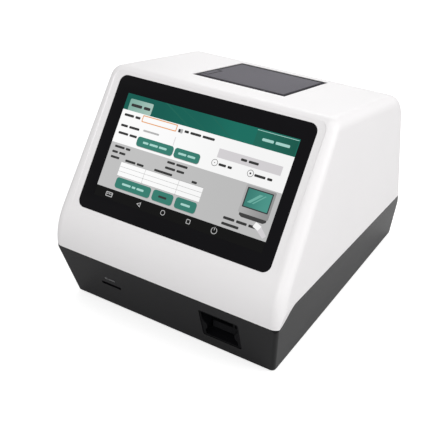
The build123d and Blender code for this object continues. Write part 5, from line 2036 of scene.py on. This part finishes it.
@dataclass
class Underside:
    """Feet, housing screws and the rating label under the base."""

    floor_z: float = 2.0
    label_x: Span = (-38.0, 22.0)
    label_y: Span = (-22.0, 18.0)
    label_thickness: float = 0.06
    print_height: float = 0.03
    line_inset: float = 4.0
    line_drop: float = 6.0
    line_pitch: float = 5.5
    line_half: float = 0.9
    line_length: float = 46.0
    line_shares: tuple[float, ...] = (0.9, 0.55, 0.75, 0.4, 0.65)

    def build(self) -> None:
        """Dress the feet, draw the housing's screws and stick the label on."""
        Maker.dressed("rubber_feet", Body.HOUSING, "foot_rubber", 0.3)
        Screws("housing_screws", WORLD, 3.0, 2.4, cut_depth=1.2).build()
        outline = Outline.rounded(self.label_x, self.label_y, 2.0, 5)
        film = self.floor_z - self.label_thickness
        label = Maker.plate("rating_label", [outline], (film, self.floor_z), WORLD, ["label_film"])
        Maker.finish(label, Body.HOUSING, "dark_shell")
        lines = []
        x = self.label_x[1] - self.line_inset
        for k, share in enumerate(self.line_shares):
            y = self.label_y[1] - self.line_drop - self.line_pitch * k
            rise = (y - self.line_half, y + self.line_half)
            lines.append(Outline.rounded((x - share * self.line_length, x), rise, 0.3, 2))
        bars = Maker.plate("label_bars", lines, (film - self.print_height, film), WORLD, ["board_part"])
        Maker.finish(bars, Body.HOUSING, "dark_shell")


def paint_node(node: str, finish: str) -> None:
    """Give a CAD node its finish.

    Args:
        node: Name of the node.
        finish: Name of the finish.
    """
    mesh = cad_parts[node].data
    mesh.materials.clear()
    mesh.materials.append(FINISHES.get(finish))


NODE_FINISHES = {
    "screen_gasket": "foam", "display_module": "display_metal", "screen_bracket": "zinc_steel",
    "bracket_screws": "steel", "printer_bezel": "dark_grey_plastic", "lid_hinge_pin": "steel",
    "paper_tub": "dark_grey_plastic", "printer_lid": "lid_plastic", "lid_release": "dark_grey_plastic",
    "platen_roller": "platen_rubber", "platen_shaft": "steel", "platen_gear": "gear_acetal",
    "printer_drive_gear": "gear_acetal", "printer_motor": "zinc_steel", "printer_motor_plate": "zinc_steel",
    "print_head": "bare_aluminium", "heater_line": "ceramic", "tear_bar": "stainless_blade",
    "paper_roll": "paper", "roll_core": "core_board", "roll_spindle": "black_plastic",
    "port_bezel": "black_plastic", "cartridge_tray": "dark_grey_plastic", "tray_guide": "black_plastic",
    "tray_pinion": "gear_acetal", "motor_bracket": "zinc_steel", "tray_motor": "black_anodised",
    "optical_head": "black_anodised", "lens_barrel": "bare_aluminium", "optics_board": "circuit_board",
    "card_socket": "black_plastic", "card_board": "circuit_board", "chassis_plate": "zinc_steel",
    "chassis_screws": "steel", "main_board": "circuit_board", "board_spacers": "steel",
    "board_screws": "steel", "main_board_parts": "board_part", "heat_sink": "black_anodised",
    "power_board": "circuit_board", "power_board_parts": "board_part", "display_ribbon": "ribbon_film",
    "rear_panel": "black_plastic", "dc_inlet": "black_plastic", "power_switch": "black_plastic",
    "power_rocker": "black_plastic", "usb_sockets": "socket_steel", "lan_socket": "socket_steel",
    "serial_socket": "socket_steel", "fan_frame": "black_plastic", "fan_rotor": "black_plastic",
    "fan_screws": "steel", "housing_screws": "steel", "rubber_feet": "foot_rubber",
}


def main() -> None:
    """Build the studio and every sub-assembly."""
    logging.basicConfig(level=logging.INFO, format="%(name)s: %(message)s")
    for name in ("Cube", "Light", "Camera"):
        if name in bpy.data.objects:
            bpy.data.objects.remove(bpy.data.objects[name])
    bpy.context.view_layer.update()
    Studio().build()
    for node, finish in NODE_FINISHES.items():
        paint_node(node, finish)
    parts = (
        Casing(), Screen(), TopPrinter(), CartridgeBay(), CardReader(), RearPanel(), Fan(), Electronics(),
        Underside(), Screws("bracket_screws", SCREEN), Screws("chassis_screws", WORLD),
        Screws("board_screws", WORLD),
    )
    for part in parts:
        log.info("building %s", type(part).__name__)
        part.build()


if __name__ == "__main__":
    main()
